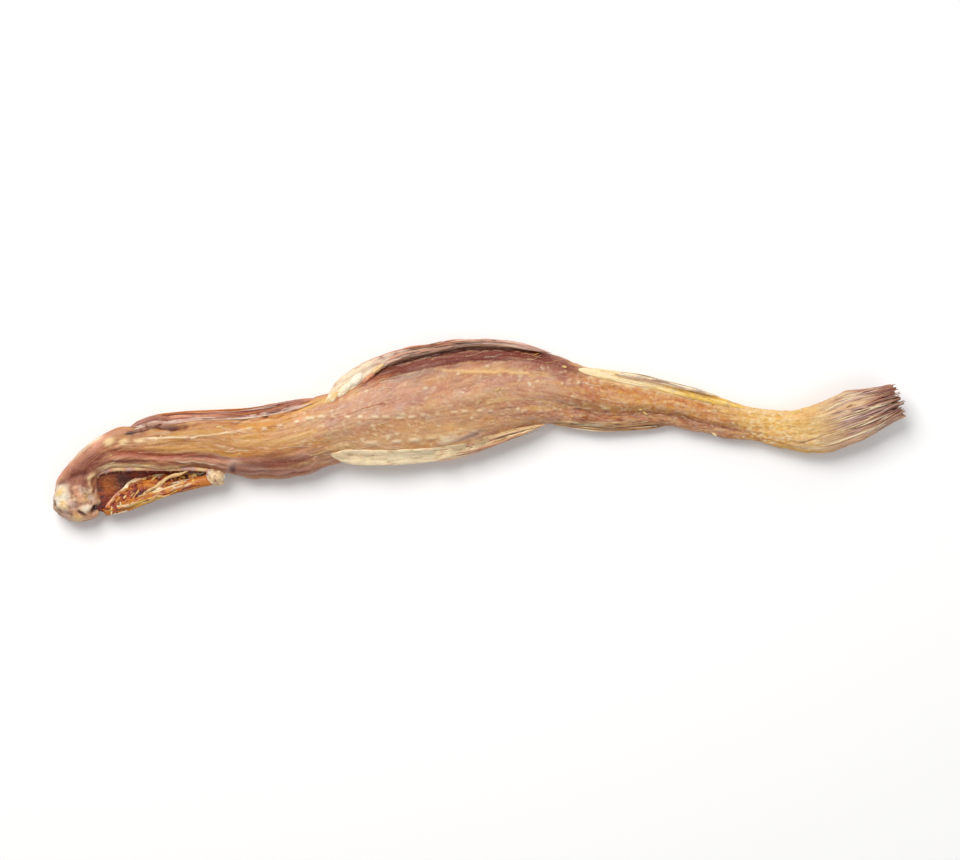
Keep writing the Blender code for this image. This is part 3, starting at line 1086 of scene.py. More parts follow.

# Fibres, wrinkles and dabs, in the same columns. The dark group from X -24 to 20 and across 0.66
# to 1.05 streaks the band under the back fin, in part as painted shade.
STROKES = strokes_of("""
120 0 0.04 -92..-38 -0.5..0.98 4..13 0.45..1.1 -0.03..0.04 0.15..0.42 BUTTER LEMON AMBER HONEY SAND
    GOLD LILAC ROSE RUST;
380 0 0.06 -93..-38 -0.5..0.98 1..5 0.18..0.36 -0.02..0.04 0.1..0.32 BUTTER CREAM AMBER HONEY ROSE
    OCHRE IVORY LILAC;
420 0 0.3 -92..-38 -0.5..0.98 0.3..1 0.18..0.34 -0.02..0.05 0.15..0.45 IVORY ROSE HONEY AMBER CREAM
    LEMON;
420 0 0.05 -96..-40 -1.1..-0.42 1.5..8 0.22..0.7 -0.04..0.05 0.14..0.42 MAUVE LILAC PLUM ROSE GREY
    RUST SAND MAROON;
40 0 0.07 -92..-40 -1..1 2..8 0.16..0.26 -0.1..-0.04 0.2..0.45 RUST MAROON AMBER;
2600 0.45 0.55 -42..26 -0.95..0.72 0.3..0.9 0.18..0.34 -0.03..0.045 0.12..0.4 PINK ROSE CREAM TAN
    MAUVE AMBER IVORY LILAC;
700 0.42 0.16 -42..26 -0.95..0.72 0.7..2.6 0.16..0.3 -0.03..0.04 0.12..0.36 ROSE MAUVE LILAC AMBER
    CREAM PLUM HONEY;
110 0.3 0.25 -42..26 -0.8..0.75 0.35..0.7 0.26..0.46 0.04..0.12 0.45..0.85 IVORY CREAM ROSE;
180 0.05 0.06 -42..28 -0.98..0.9 1.5..6 0.15..0.25 -0.06..0.04 0.2..0.46 MAUVE RUST CREAM LILAC PLUM
    BUTTER;
420 0 0.1 -24..20 0.66..1.05 0.8..4 0.18..0.4 -0.07..0.06 0.2..0.55 MAROON UMBER RUST AMBER PLUM
    UMBER;
2600 0 0.5 24..80 -0.75..1 0.28..0.9 0.2..0.4 -0.04..0.06 0.16..0.52 HONEY BUTTER CREAM AMBER GOLD
    LEMON ROSE IVORY;
900 0 0.3 20..66 -1.1..-0.45 0.4..1.6 0.18..0.34 -0.05..0.06 0.2..0.55 MAUVE PLUM CREAM LILAC AMBER
    ROSE;
150 0 0.07 22..72 -0.95..0.98 1.4..5.5 0.15..0.26 -0.06..0.06 0.2..0.45 AMBER RUST CREAM BUTTER MAUVE;
500 0 0.5 66..90 -0.9..0.95 0.25..0.9 0.2..0.4 -0.03..0.06 0.25..0.7 CHALK LEMON IVORY HONEY CREAM;
120 0 0.07 93..104 -0.6..0.95 0.8..3.5 0.16..0.34 -0.12..-0.02 0.35..0.8 PLUM SOOT STONE MAUVE;
900 0 0.07 78..104 -1..1 0.7..4.5 0.15..0.3 -0.03..0.04 0.15..0.42 CREAM LILAC ROSE GREY MAUVE IVORY
    SAND;
800 0 0.08 -94..100 1.02..2 0.8..5 0.2..0.45 -0.08..0.07 0.16..0.42 TAN CREAM AMBER UMBER MAUVE SAND;
800 0 0.08 -94..100 -2..-1.02 0.8..5 0.2..0.45 -0.08..0.07 0.16..0.42 TAN CREAM AMBER UMBER MAUVE
    LILAC;
420 0 0.1 9..30 -1..1 0.6..3.2 0.16..0.4 -0.04..0.05 0.14..0.4 ROSE PINK MAUVE PLUM LILAC RUST TAN
    on_head;
240 0 0.6 2.5..9 -1.1..1.1 0.25..0.8 0.16..0.4 -0.06..0.08 0.18..0.5 GREY CREAM IVORY ROSE MAUVE STONE
    on_head;
""")

# The lateral line and the row of scales above the belly fin: path, pitch, and a scale's half
# length and half width.
DASHES = (
    (path_of("-58 0.4, -48.7 1.2, -41 3.3, -30 3.6, -16 3.7, -5 4.8, 12 5.4, 32.6 5.5"), 3.4, 0.75, 0.34),
    (path_of("-29.5 -2.9, -25 -2.6, -18 -2.2, -11 -1.5, -4 0.2"), 5.6, 1.5, 0.42),
)


@dataclass
class Skin:
    """The skin of head, trunk and tail base, shrunk onto the flesh as it dried."""

    head_step: float = 0.16
    body_step: float = 0.252
    head_end: float = 27.0
    edge_columns: int = 30
    top_columns: int = 160
    middle_share: float = 0.45
    cuts: tuple = (-87.0, 2.0)
    overlap: int = 4
    torn_length: float = 5.0
    hollow: tuple = ((0.84, 0.5), (0.6, 1.5), (0.2, 2.2))
    wash_seed: int = 19
    stroke_seed: int = 20
    dash_seed: int = 21
    finish: Finish = DriedFinish(
        "dried_skin", fibre_width=0.62, streaks=0.14, groove_shade=0.18, glints=0.40, depth=0.0
    )
    zones: tuple = ZONES
    shades: tuple = SHADES
    folds: tuple = FOLDS
    spots: tuple = SPOTS
    washes: tuple = WASHES
    strokes: tuple = STROKES
    dashes: tuple = DASHES
    spine: Spine = field(init=False)
    tree: BVHTree = field(init=False)

    def __post_init__(self) -> None:
        """Samples the spine."""
        self.spine = Spine()

    def build(self) -> list[Piece]:
        """Builds the skin in three overlapping lengths, and a tree for laying things on it.

        Returns:
            The three pieces.
        """
        travel = self.rings()
        angles = self.angles()
        place = self.base(travel, angles)
        canvas = Canvas(travel, angles, place.arc)
        LOG.info("skin grid of %d by %d", *place.x.shape)
        canvas.lift += self.texture(place)
        canvas.tone[:] = self.zoned(place)
        self.lay_strokes(canvas, self.washes, self.wash_seed)
        canvas.tone[:] = np.stack([blurred(canvas.tone[..., part], 3, 2) for part in range(3)], axis=-1)
        self.lay_strokes(canvas, self.strokes, self.stroke_seed)
        canvas.tone[:] = self.tinted(canvas.tone, self.shades, place)
        brow = band(place.travel, 9.5, 17.0, 4.0) * bump(place.across, -0.10, 0.85)
        canvas.coat((Hue.UMBER, 0.34 * brow))
        self.lay_folds(canvas, place)
        self.lay_dashes(canvas, place)
        points = self.displaced(canvas, place)
        crest = self.crests(canvas.lift)
        tone = self.relief_shaded_and_burnt(canvas.tone, crest, place)
        flow = stacked(place.travel, place.wide, place.deep)
        whole = Patch(points, tone, crest, flow)
        return self.cut(whole, place)

    def rings(self) -> Grid:
        """The lengths of the rings from the snout, closer together on the head."""
        head = np.arange(0.0, self.head_end, self.head_step)
        count = int((self.spine.length - self.head_end) / self.body_step)
        return np.concatenate([head, np.linspace(self.head_end, self.spine.length, count)])

    def angles(self) -> Grid:
        """The column angles from under the fish round its back, closer on the upper flank."""
        half = math.pi / 2
        near = np.linspace(-half, 0.0, self.edge_columns + 1)[:-1]
        top = np.linspace(0.0, math.pi, self.top_columns + 1)[:-1]
        far = np.linspace(math.pi, 3 * half, self.edge_columns + 1)[:-1]
        return np.concatenate([near, top, far])

    def base(self, travel: Grid, angles: Grid) -> Field:
        """Lays the plain skin round the spine and measures it.

        Args:
            travel: Lengths of the rings.
            angles: Angles of the columns.

        Returns:
            Every point with its coordinates along, across and through the fish.
        """
        rows, side = self.spine.at(travel)
        x, y, half, low, thick = (part[:, None] for part in rows.T)
        angle = angles[None, :]
        length = travel[:, None]
        c, s = np.cos(angle), np.sin(angle)
        jag = Grain(6).noise(length / 2.3, np.sign(c) * 1.5, 0.0) * band(length, 0.0, 16.0, 6.0)
        rim = 0.034 * Grain(3).noise(length / 4.5, 0.3, 0.0)
        rim = rim + 0.016 * Grain(4).noise(length / 1.5, 0.3, 0.0) + 0.07 * jag
        across = np.sign(c) * np.abs(c) ** EDGE_POWER
        wave = Grain(5).noise(length / 5.0, across * 1.6, 0.0) * np.abs(across) ** 3
        half = half * (1 + rim + 0.030 * wave)
        top = s >= 0
        over = (1 - self.middle_share) * thick * np.abs(s) ** TOP_POWER
        under = -self.middle_share * thick * np.abs(s) ** UNDER_POWER
        height = np.where(top, over, under) * (0.93 + 0.07 * across)
        reach = half * across
        middle = low + self.middle_share * thick
        px = x + side[:, :1] * reach
        py = y + side[:, 1:] * reach
        pz = middle + height
        steps = np.sqrt(np.diff(px, axis=1) ** 2 + np.diff(py, axis=1) ** 2 + np.diff(pz, axis=1) ** 2)
        arc = np.concatenate([np.zeros((len(travel), 1)), np.cumsum(steps, axis=1)], axis=1)
        shape = px.shape
        wide = across * (0.55 * rows[:, 2:3] + 3.6)
        grids = (px, py, pz, x, length, across, wide, height / thick * 10, held(s), top, arc)
        return Field(*(np.broadcast_to(grid, shape) for grid in grids))

    def texture(self, place: Field) -> Grid:
        """The wrinkles, the muscle bands and the grain, in millimetres.

        Args:
            place: The plain skin.

        Returns:
            Heights to add.
        """
        x, t, u, w = place.ring, place.travel, place.wide, place.deep * 0.3
        drift = Grain(11).fractal(t / 24.0, u / 7.0, w / 6.0)
        front = band(x, -93.0, -44.0, 12.0) * band(t, 18.0, PAST_ENDS, 8.0)
        flank = band(x, -40.0, 24.0, 8.0)
        rear = band(x, 24.0, 84.0, 10.0)
        tail = band(x, 80.0, 120.0, 8.0)
        head = 1 - band(t, 10.0, PAST_ENDS, 6.0)
        edge = held((np.abs(place.across) - 0.66) / 0.3)
        patchy = 0.65 + 0.5 * Grain(10).noise(t / 6.0, u / 2.2, w)
        deep = Grain(12).billow(t / 11.0, u / 1.9 + 1.7 * drift, w + 0.3)
        fine = Grain(13).billow(t / 5.0, u / 0.8 + 1.6 * drift, w + 0.7)
        swell = Grain(14).fractal(t / 8.0, u / 3.0, w + 1.9)
        ridge = Grain(17).fractal(t / 17.0, u / 1.9 + 1.0 * drift, w + 5.0, 2)
        lump = Grain(15).billow(place.x / 2.0, place.y / 1.6, place.z / 2.4)
        knot = place.grain(18, 1.9, 1.7, 2.0)
        grit = place.grain(16, 0.75, 0.62, 0.9, 2)
        chevron = (t + 0.8 * np.abs(u + 0.5) + 1.6 * drift) / 2.3
        lines = np.maximum(np.cos(2 * math.pi * chevron), 0.0) ** 2
        calm = 1 - 0.75 * flank * (1 - edge)
        relief = patchy * (0.024 - 0.008 * front + 0.01 * tail + 0.03 * edge) * calm * deep
        relief += patchy * (0.012 - 0.009 * front + 0.01 * tail + 0.01 * edge) * calm * fine
        relief += (0.16 + 0.10 * front + 0.12 * edge + 0.08 * rear) * swell
        relief += (0.05 + 0.13 * front + 0.07 * tail) * ridge
        relief += (0.14 * head + 0.035 * rear + 0.012 * flank + 0.03 * edge) * lump + 0.34 * head * knot
        relief += (0.014 + 0.03 * head + 0.024 * rear + 0.012 * flank) * grit
        relief -= 0.025 * flank * (1 - edge) * lines * (0.6 + 0.6 * drift)
        sunk = 0.9 * band(x, 24.0, 60.0, 8.0) * bump(place.across, -0.55, 0.22)
        sunk += 0.8 * band(x, -18.0, 14.0, 10.0) * bump(place.across, 0.84, 0.12)
        sunk -= 0.5 * band(x, -34.0, 40.0, 12.0) * bump(place.across, -0.05, 0.25)
        return relief - sunk * place.crown

    def drifted(self, place: Field) -> tuple[Grid, Grid, Grid]:
        """How far the colours stray along the fish, and the strayed places along and across."""
        blur_x = 4.0 * place.grain(31, 7.0, 3.5, 5.0)
        blur_a = 0.13 * place.grain(32, 9.0, 2.6, 5.0)
        return blur_x, place.ring + blur_x, place.across + blur_a

    def tinted(self, tone: Grid, zones: tuple, place: Field) -> Grid:
        """Lays colour fields over the tones.

        Args:
            tone: Linear colours.
            zones: The fields, in order.
            place: The plain skin.

        Returns:
            Linear colours.
        """
        _, x, across = self.drifted(place)
        body = band(place.travel, 16.0, PAST_ENDS, 6.0)
        for zone in zones:
            share = zone.share * band(x, zone.low, zone.high, zone.soft) * body
            tone = mixed(tone, zone.hue, share * bump(across, zone.across, zone.width))
        return tone

    def zoned(self, place: Field) -> Grid:
        """The broad colours of the skin.

        Args:
            place: The plain skin.

        Returns:
            Linear colours.
        """
        blur_x, x, across = self.drifted(place)
        body = band(place.travel, 16.0, PAST_ENDS, 6.0)
        tone = self.tinted(Hue.TAN.light(), self.zones, place)
        head = 1 - band(place.travel + 0.5 * blur_x, 11.0, PAST_ENDS, 5.0)
        neck = band(place.travel + 0.5 * blur_x, 9.5, 23.0, 5.0)
        rosy = band(x, -38.0, 20.0, 8.0)
        warm = (1 - 0.75 * rosy) * (1 - band(x, 74.0, 200.0, 8.0)) * body
        below = held(-place.deep / 4.5)
        lumps = place.grain(33, 1.4, 1.4, 1.4)
        blotch = place.grain(39, 2.1, 1.5, 2.0)
        cloud = place.grain(34, 3.6, 1.9, 2.2)
        marble = Grain(35).fractal(place.travel / 6.5, place.wide / 1.2, place.deep / 6.0)
        vein = Grain(38).fractal(place.travel / 5.0, place.wide / 0.9, place.deep / 6.0 + 4.0)
        return coated(
            tone,
            (Hue.ROSE, 0.75 * head),
            (Hue.MAUVE, 0.80 * neck),
            (Hue.PLUM, 0.80 * neck * bump(across, -0.20, 0.80)),
            (Hue.MAUVE, 0.7 * head * held(lumps * 2.2 - 0.2)),
            (Hue.CHALK, 0.8 * head * held(-lumps * 2.2 - 0.2)),
            (Hue.LEMON, 0.35 * head * held(blotch * 2.6 - 0.5)),
            (Hue.PLUM, 0.60 * head * held(-blotch * 2.6 - 0.5)),
            (Hue.BUTTER, 0.40 * held(cloud * 1.6 - 0.1)),
            (Hue.MAUVE, 0.35 * held(-cloud * 1.6 - 0.1)),
            (Hue.HONEY, 0.55 * warm * held(marble * 1.7 - 0.1)),
            (Hue.LILAC, 0.45 * held(-marble * 1.7 - 0.2)),
            (Hue.BUTTER, 0.40 * warm * held(vein * 1.8 - 0.3)),
            (Hue.AMBER, 0.45 * warm * held(-vein * 1.8 - 0.3)),
            (Hue.MAUVE, 0.45 * rosy * held(-vein * 1.8 - 0.2)),
            (Hue.OCHRE, 0.35 * below),
            (Hue.RUST, 0.45 * below * held(cloud * 2.0)),
        )

    def lay_folds(self, canvas: Canvas, place: Field) -> None:
        """Presses the named folds and spots into the upper flank.

        Args:
            canvas: The relief and the tones.
            place: The plain skin.
        """
        shift = Grain(36).fractal(place.x / 2.6, place.y / 2.2, 0.0, 2)
        wander = Grain(37).fractal(place.x / 2.6, place.y / 2.2, 4.0, 2)
        over = held(place.crown * 3.0)
        for fold in self.folds:
            low_x, low_y = np.min(fold.path, axis=0) - 4.0
            high_x, high_y = np.max(fold.path, axis=0) + 4.0
            near = (place.x > low_x) & (place.x < high_x) & place.top
            near &= (place.y > low_y) & (place.y < high_y)
            x = place.x[near] + 0.40 * shift[near]
            y = place.y[near] + 0.35 * wander[near]
            away, share = path_distance(x, y, fold.path)
            ends = held(np.minimum(share, 1 - share) / 0.12)
            ragged = 0.75 + 0.45 * shift[near]
            mark = bump(away, 0.0, fold.width * (0.55 + 0.45 * ends)) * ends * over[near]
            canvas.lift[near] += fold.lift * mark * (0.85 + 0.3 * wander[near])
            canvas.tone[near] = mixed(canvas.tone[near], fold.hue, fold.share * mark * ragged * 1.15)
        for spot in self.spots:
            turn = math.radians(spot.turn)
            dx = place.x + 0.35 * shift - spot.x
            dy = place.y + 0.35 * wander - spot.y
            long = (dx * math.cos(turn) + dy * math.sin(turn)) / spot.long
            short = (dy * math.cos(turn) - dx * math.sin(turn)) / spot.short
            mark = np.exp(-((long**2 + short**2) ** 1.4)) * over
            canvas.lift += spot.lift * mark
            canvas.coat((spot.hue, spot.share * mark * (1 + 0.3 * shift)))

    def lay_strokes(self, canvas: Canvas, groups: tuple, seed: int) -> None:
        """Strews the washes, the fibres, the wrinkles and the dabs.

        Args:
            canvas: The relief and the tones.
            groups: The strokes, group by group.
            seed: Seed of their places.
        """
        draw = np.random.default_rng(seed)
        for strokes in groups:
            low, high = strokes.stretch
            if not strokes.on_head:
                low, high = self.spine.travel_at_x(low), self.spine.travel_at_x(high)
            hues = [hue.light() for hue in strokes.hues]
            travel = draw.uniform(low, high, strokes.count)
            travel = travel + draw.normal(0.0, 0.3 if strokes.on_head else 3.0, strokes.count)
            across, length, width, lift, share = (
                draw.uniform(*limits, strokes.count)
                for limits in (strokes.across, strokes.length, strokes.width, strokes.lift, strokes.share)
            )
            slope = draw.normal(0.0, strokes.spread, strokes.count)
            slope = slope + strokes.slant * np.where(across > 0.0, -1.0, 1.0) * np.abs(across) ** 0.3
            bend = draw.normal(0.0, 0.05, strokes.count) / np.maximum(length, 1.0)
            pick = draw.integers(0, len(hues), strokes.count)
            tones = [hues[i] for i in pick]
            places = zip(travel.tolist(), across.tolist())
            for stroke in zip(places, length, width, slope, bend, lift, tones, share):
                canvas.stroke(*stroke)

    def lay_dashes(self, canvas: Canvas, place: Field) -> None:
        """Sets the pale scales of the lateral line and of the row above the belly fin, each with a
        painted shadow beside it.

        Args:
            canvas: The relief and the tones.
            place: The plain skin.
        """
        draw = np.random.default_rng(self.dash_seed)
        for path, pitch, long, wide in self.dashes:
            rows = curve_through(path, 400)
            travel = run_along(rows[:, :2])
            at = 0.5 * pitch
            while at < travel[-1]:
                x, y = (float(np.interp(at, travel, rows[:, axis])) for axis in (0, 1))
                ahead = [float(np.interp(at + 1.0, travel, rows[:, axis])) for axis in (0, 1)]
                run = unit(np.array([ahead[0] - x, ahead[1] - y]))
                dx, dy = place.x - x, place.y - y - draw.normal(0.0, 0.12)
                lengthwise = (dx * run[0] + dy * run[1]) / (long * draw.uniform(0.6, 1.25))
                sidewise = (dy * run[0] - dx * run[1]) / (wide * draw.uniform(0.8, 1.2))
                mark = np.exp(-(lengthwise**4) - sidewise**2) * place.top
                canvas.lift += 0.16 * mark
                pale = draw.uniform(0.45, 1.0) * (1 - 0.6 * float(band(x, -12.0, 40.0, 8.0)))
                # Painted shadow: a mauve mark just beside each raised scale, on its side towards the
                # belly.
                under = np.exp(-(lengthwise**4) - (sidewise + 1.5) ** 2) * place.top
                canvas.coat((Hue.IVORY, pale * mark), (Hue.MAUVE, 0.35 * under))
                at += pitch * draw.uniform(0.75, 1.3)

    def displaced(self, canvas: Canvas, place: Field) -> Grid:
        """Moves every point out along its normal by its lift, and rests the fish on the table.

        Args:
            canvas: The relief.
            place: The plain skin.

        Returns:
            The finished points.
        """
        points = stacked(place.x, place.y, place.z)
        ends = np.minimum(place.travel, self.spine.length - place.travel)
        lift = canvas.lift * held(ends / 1.2)
        along = np.gradient(points, axis=0)
        round_it = (np.roll(points, -1, axis=1) - np.roll(points, 1, axis=1)) / 2
        normal = unit(np.cross(round_it, along))
        points = points + normal * lift[..., None]
        torn = 0.7 + 1.1 * Grain(40).fractal(place.wide / 0.8, place.deep / 4.0, 0.0)
        torn = np.clip(torn, 0.0, 1.9) * held(1 - (self.spine.length - place.travel) / self.torn_length)
        points = points - unit(along) * torn[..., None]
        floor = 0.02 + 0.05 * np.clip(1 + lift, 0.0, 2.0)
        points[..., 2] = np.maximum(points[..., 2], floor)
        return points

    def crests(self, lift: Grid) -> Grid:
        """How far each point stands above the skin round it, from -1 to 1."""
        near = (lift - blurred(lift, 2, 3)) / 0.13
        far = (lift - blurred(lift, 6, 8)) / 0.36
        return np.clip(0.55 * near + 0.75 * far, -1.0, 1.0)

    def relief_shaded_and_burnt(self, tone: Grid, crest: Grid, place: Field) -> Grid:
        """Paints shade into the grooves and a highlight onto the crests, and burns the thin edges.

        Args:
            tone: Linear colours.
            crest: Heights above the surroundings.
            place: The plain skin.

        Returns:
            Linear colours.
        """
        crest = crest * (1 - 0.5 * band(place.ring, -93.0, -44.0, 12.0))
        thin = held((np.abs(place.across) - 0.93) / 0.07) * place.top
        return coated(
            tone,
            # Painted shade in the grooves, and a painted highlight on the crests.
            (Hue.RUST, 0.30 * held(-crest * 1.2 - 0.1)),
            (Hue.UMBER, 0.30 * held(-crest * 1.6 - 0.6)),
            (Hue.CREAM, 0.30 * held(crest * 1.3 - 0.1)),
            (Hue.AMBER, 0.25 * thin),
        )

    def cut(self, whole: Patch, place: Field) -> list[Piece]:
        """Cuts the skin in three, tucks each cut under its neighbour, and builds the pieces.

        Args:
            whole: The whole skin.
            place: The plain skin.

        Returns:
            The head, the trunk and the rear.
        """
        places = [self.spine.travel_at_x(x) for x in self.cuts]
        cuts = [0, *np.searchsorted(place.travel[:, 0], places).tolist(), len(place.travel)]
        made = []
        for index, name in enumerate(("head_skin", "trunk_skin", "rear_skin")):
            first, last = cuts[index], cuts[index + 1]
            part = whole.rows(max(first - self.overlap, 0), min(last + 2, cuts[-1]))
            part = Patch(part.points.copy(), part.tone, part.crest, part.flow)
            if last == cuts[-1]:
                part = self.hollowed(part)
            self.tuck(part.points, index > 0, last < cuts[-1])
            made.append(Loft(name).build([part], self.finish))
        self.tree = self.feeler(whole.points[::3, ::2])
        return made

    def feeler(self, points: Grid) -> BVHTree:
        """A coarse copy of the skin that finds its height over a place; it is never seen."""
        near = np.arange(points[..., 0].size).reshape(points.shape[:2])
        after = np.roll(near, -1, axis=1)
        faces = np.stack([near[:-1], after[:-1], after[1:], near[1:]], axis=-1)
        return BVHTree.FromPolygons(points.reshape(-1, 3).tolist(), faces.reshape(-1, 4).tolist())

    def hollowed(self, part: Patch) -> Patch:
        """Turns the last ring in on itself, where the tail's rays broke off and left it open."""
        rim = part.points[-1]
        middle = rim.mean(axis=0)
        inward = unit(part.points[-12].mean(axis=0) - middle)
        rings = [middle + (rim - middle) * size + inward * depth for size, depth in self.hollow]
        # Painted shade: the rings inside the open end are darkened towards soot.
        tone = mixed(part.tone[-1], Hue.SOOT, np.array(0.6))
        added = (rings, [tone] * len(rings), [part.crest[-1]] * len(rings), [part.flow[-1]] * len(rings))
        grids = (part.points, part.tone, part.crest, part.flow)
        return Patch(*(np.concatenate([grid, np.stack(more)]) for grid, more in zip(grids, added)))

    def tuck(self, points: Grid, before: bool, after: bool) -> None:
        """Sinks the rows that a length of skin shares with its neighbours a hair under them.

        Args:
            points: The rings of the length.
            before: Whether its first rows lie under the length before.
            after: Whether its last row lies under the length after.
        """
        middle = points.mean(axis=1, keepdims=True)
        away = unit(points - middle)
        if before:
            depth = 0.008 * np.arange(self.overlap, 0, -1) / self.overlap
            points[: self.overlap] -= depth[:, None, None] * away[: self.overlap]
        if after:
            points[-1] -= 0.004 * away[-1]

    def heights(self, places: Grid) -> Grid:
        """The heights of the skin over many places, not a number beside the fish."""
        return np.array([self.height(x, y, math.nan) for x, y in places])

    def height(self, x: float, y: float, otherwise: float) -> float:
        """The height of the skin over a place, or the given height beside the fish."""
        hit = self.tree.ray_cast(Vector((x, y, SKY)), Vector((0, 0, -1)))[0]
        return otherwise if hit is None else hit.z


def tube(
    path: Grid,
    radius: Grid,
    tone: Grid,
    columns: int = 6,
    flat: float = 1.0,
    rough: float = 0.0,
    seed: int = 1,
) -> Patch:
    """A rod, ray or fibre along a path.

    Args:
        path: Points along it.
        radius: The radius at each point.
        tone: Linear colours along it, or one colour.
        columns: Points round it.
        flat: Height over width.
        rough: How much of the radius the lumps take.
        seed: Grain seed of the lumps.

    Returns:
        The rolled grid.
    """
    along = unit(np.gradient(path, axis=0))
    side = unit(np.cross(along, np.array([0.0, 0.0, 1.0])) + np.array([1e-6, 0.0, 0.0]))
    lift = np.cross(side, along)
    angle = round_angles(columns)
    size = radius[:, None] * np.ones(columns)[None, :]
    run = run_along(path)[:, None]
    crest = np.zeros(size.shape)
    if rough > 0:
        turn_x, turn_y = np.cos(angle)[None, :] * size, np.sin(angle)[None, :] * size
        crest = Grain(seed).billow(run / 2.4, turn_x * 1.1, turn_y * 1.1)
        size = size * (1 + rough * crest)
    offset = side[:, None, :] * (size * np.cos(angle))[..., None]
    offset = offset + lift[:, None, :] * (flat * size * np.sin(angle))[..., None]
    colours = np.broadcast_to(tone, (len(path), 3))[:, None, :].repeat(columns, axis=1)
    flow = stacked(run, size * np.cos(angle) + seed * 1.7, size * np.sin(angle))
    return Patch(path[:, None, :] + offset, colours, crest, flow)


@dataclass
class Sheet:
    """A thin crinkled skin stretched between two rails."""

    left: tuple
    right: tuple
    thick: float
    crinkle: float
    grain: float
    hues: tuple
    seed: int
    rows: int = 120
    columns: int = 60

    def patch(self) -> Patch:
        """The sheet's points, tones and crests; its tones run from its pits to its crests."""
        left = curve_through(self.left, self.rows)[:, :3]
        right = curve_through(self.right, self.rows)[:, :3]
        middle, reach = (left + right) / 2, (left - right) / 2
        along = unit(np.gradient(middle, axis=0))
        normal = unit(np.cross(unit(reach), along))
        normal = normal * np.sign(normal[:, 2:3] + 1e-9)
        angle = round_angles(self.columns)[None]
        v, s = np.cos(angle), np.sin(angle)
        points = middle[:, None] + reach[:, None] * v[..., None]
        x, y = points[..., 0], points[..., 1]
        big = Grain(self.seed).fractal(x / 3.2, y / 2.2, 0.4)
        small = Grain(self.seed + 1).billow(x / 2.6, y / 0.9, 0.9, 3)
        inner = 1 - np.abs(v) ** 4
        relief = self.grain * small * (0.4 + 0.6 * inner) * np.where(s >= 0, 1.0, 0.5)
        relief = self.crinkle * big * inner + relief
        height = self.thick / 2 * np.sign(s) * np.abs(s) ** 0.8 + relief
        points = points + normal[:, None] * height[..., None]
        crest = np.clip(small * 0.8, -1, 1)
        tone = graded(0.44 + 0.35 * small + 0.40 * big, self.hues)
        return Patch(points, tone, crest, points.copy())


def blob(
    centre: tuple, radii: tuple, seed: int, rough: float, hues: tuple, rows: int = 40, turn: float = 0.0
) -> Patch:
    """A lumpy rounded body.

    Args:
        centre: Its middle.
        radii: Its half sizes.
        seed: Grain seed.
        rough: How far its lumps stand out.
        hues: Tones from its pits to its crests.
        rows: Rings from end to end; it has as many columns.
        turn: How far it is turned about the upright, in degrees.

    Returns:
        The rolled grid.
    """
    share = np.linspace(0.02, math.pi - 0.02, rows)[:, None]
    angle = round_angles(rows)[None]
    out = np.sin(share)
    ball = stacked(-np.cos(share), out * np.cos(angle), out * np.sin(angle))
    place = ball * np.array(radii)
    big = Grain(seed).fractal(place[..., 0] / 1.7, place[..., 1] / 1.7, place[..., 2] / 1.7)
    small = Grain(seed + 1).billow(place[..., 0] / 0.8, place[..., 1] / 0.8, place[..., 2] / 0.8)
    shape = place + ball * (rough * (big + 0.18 * small))[..., None]
    c, s = math.cos(math.radians(turn)), math.sin(math.radians(turn))
    points = np.array(centre) + shape @ np.array([[c, s, 0.0], [-s, c, 0.0], [0.0, 0.0, 1.0]])
    tone = graded(0.5 + 0.5 * big + 0.25 * small, hues)
    return Patch(points, tone, np.clip(small, -1, 1), points.copy())


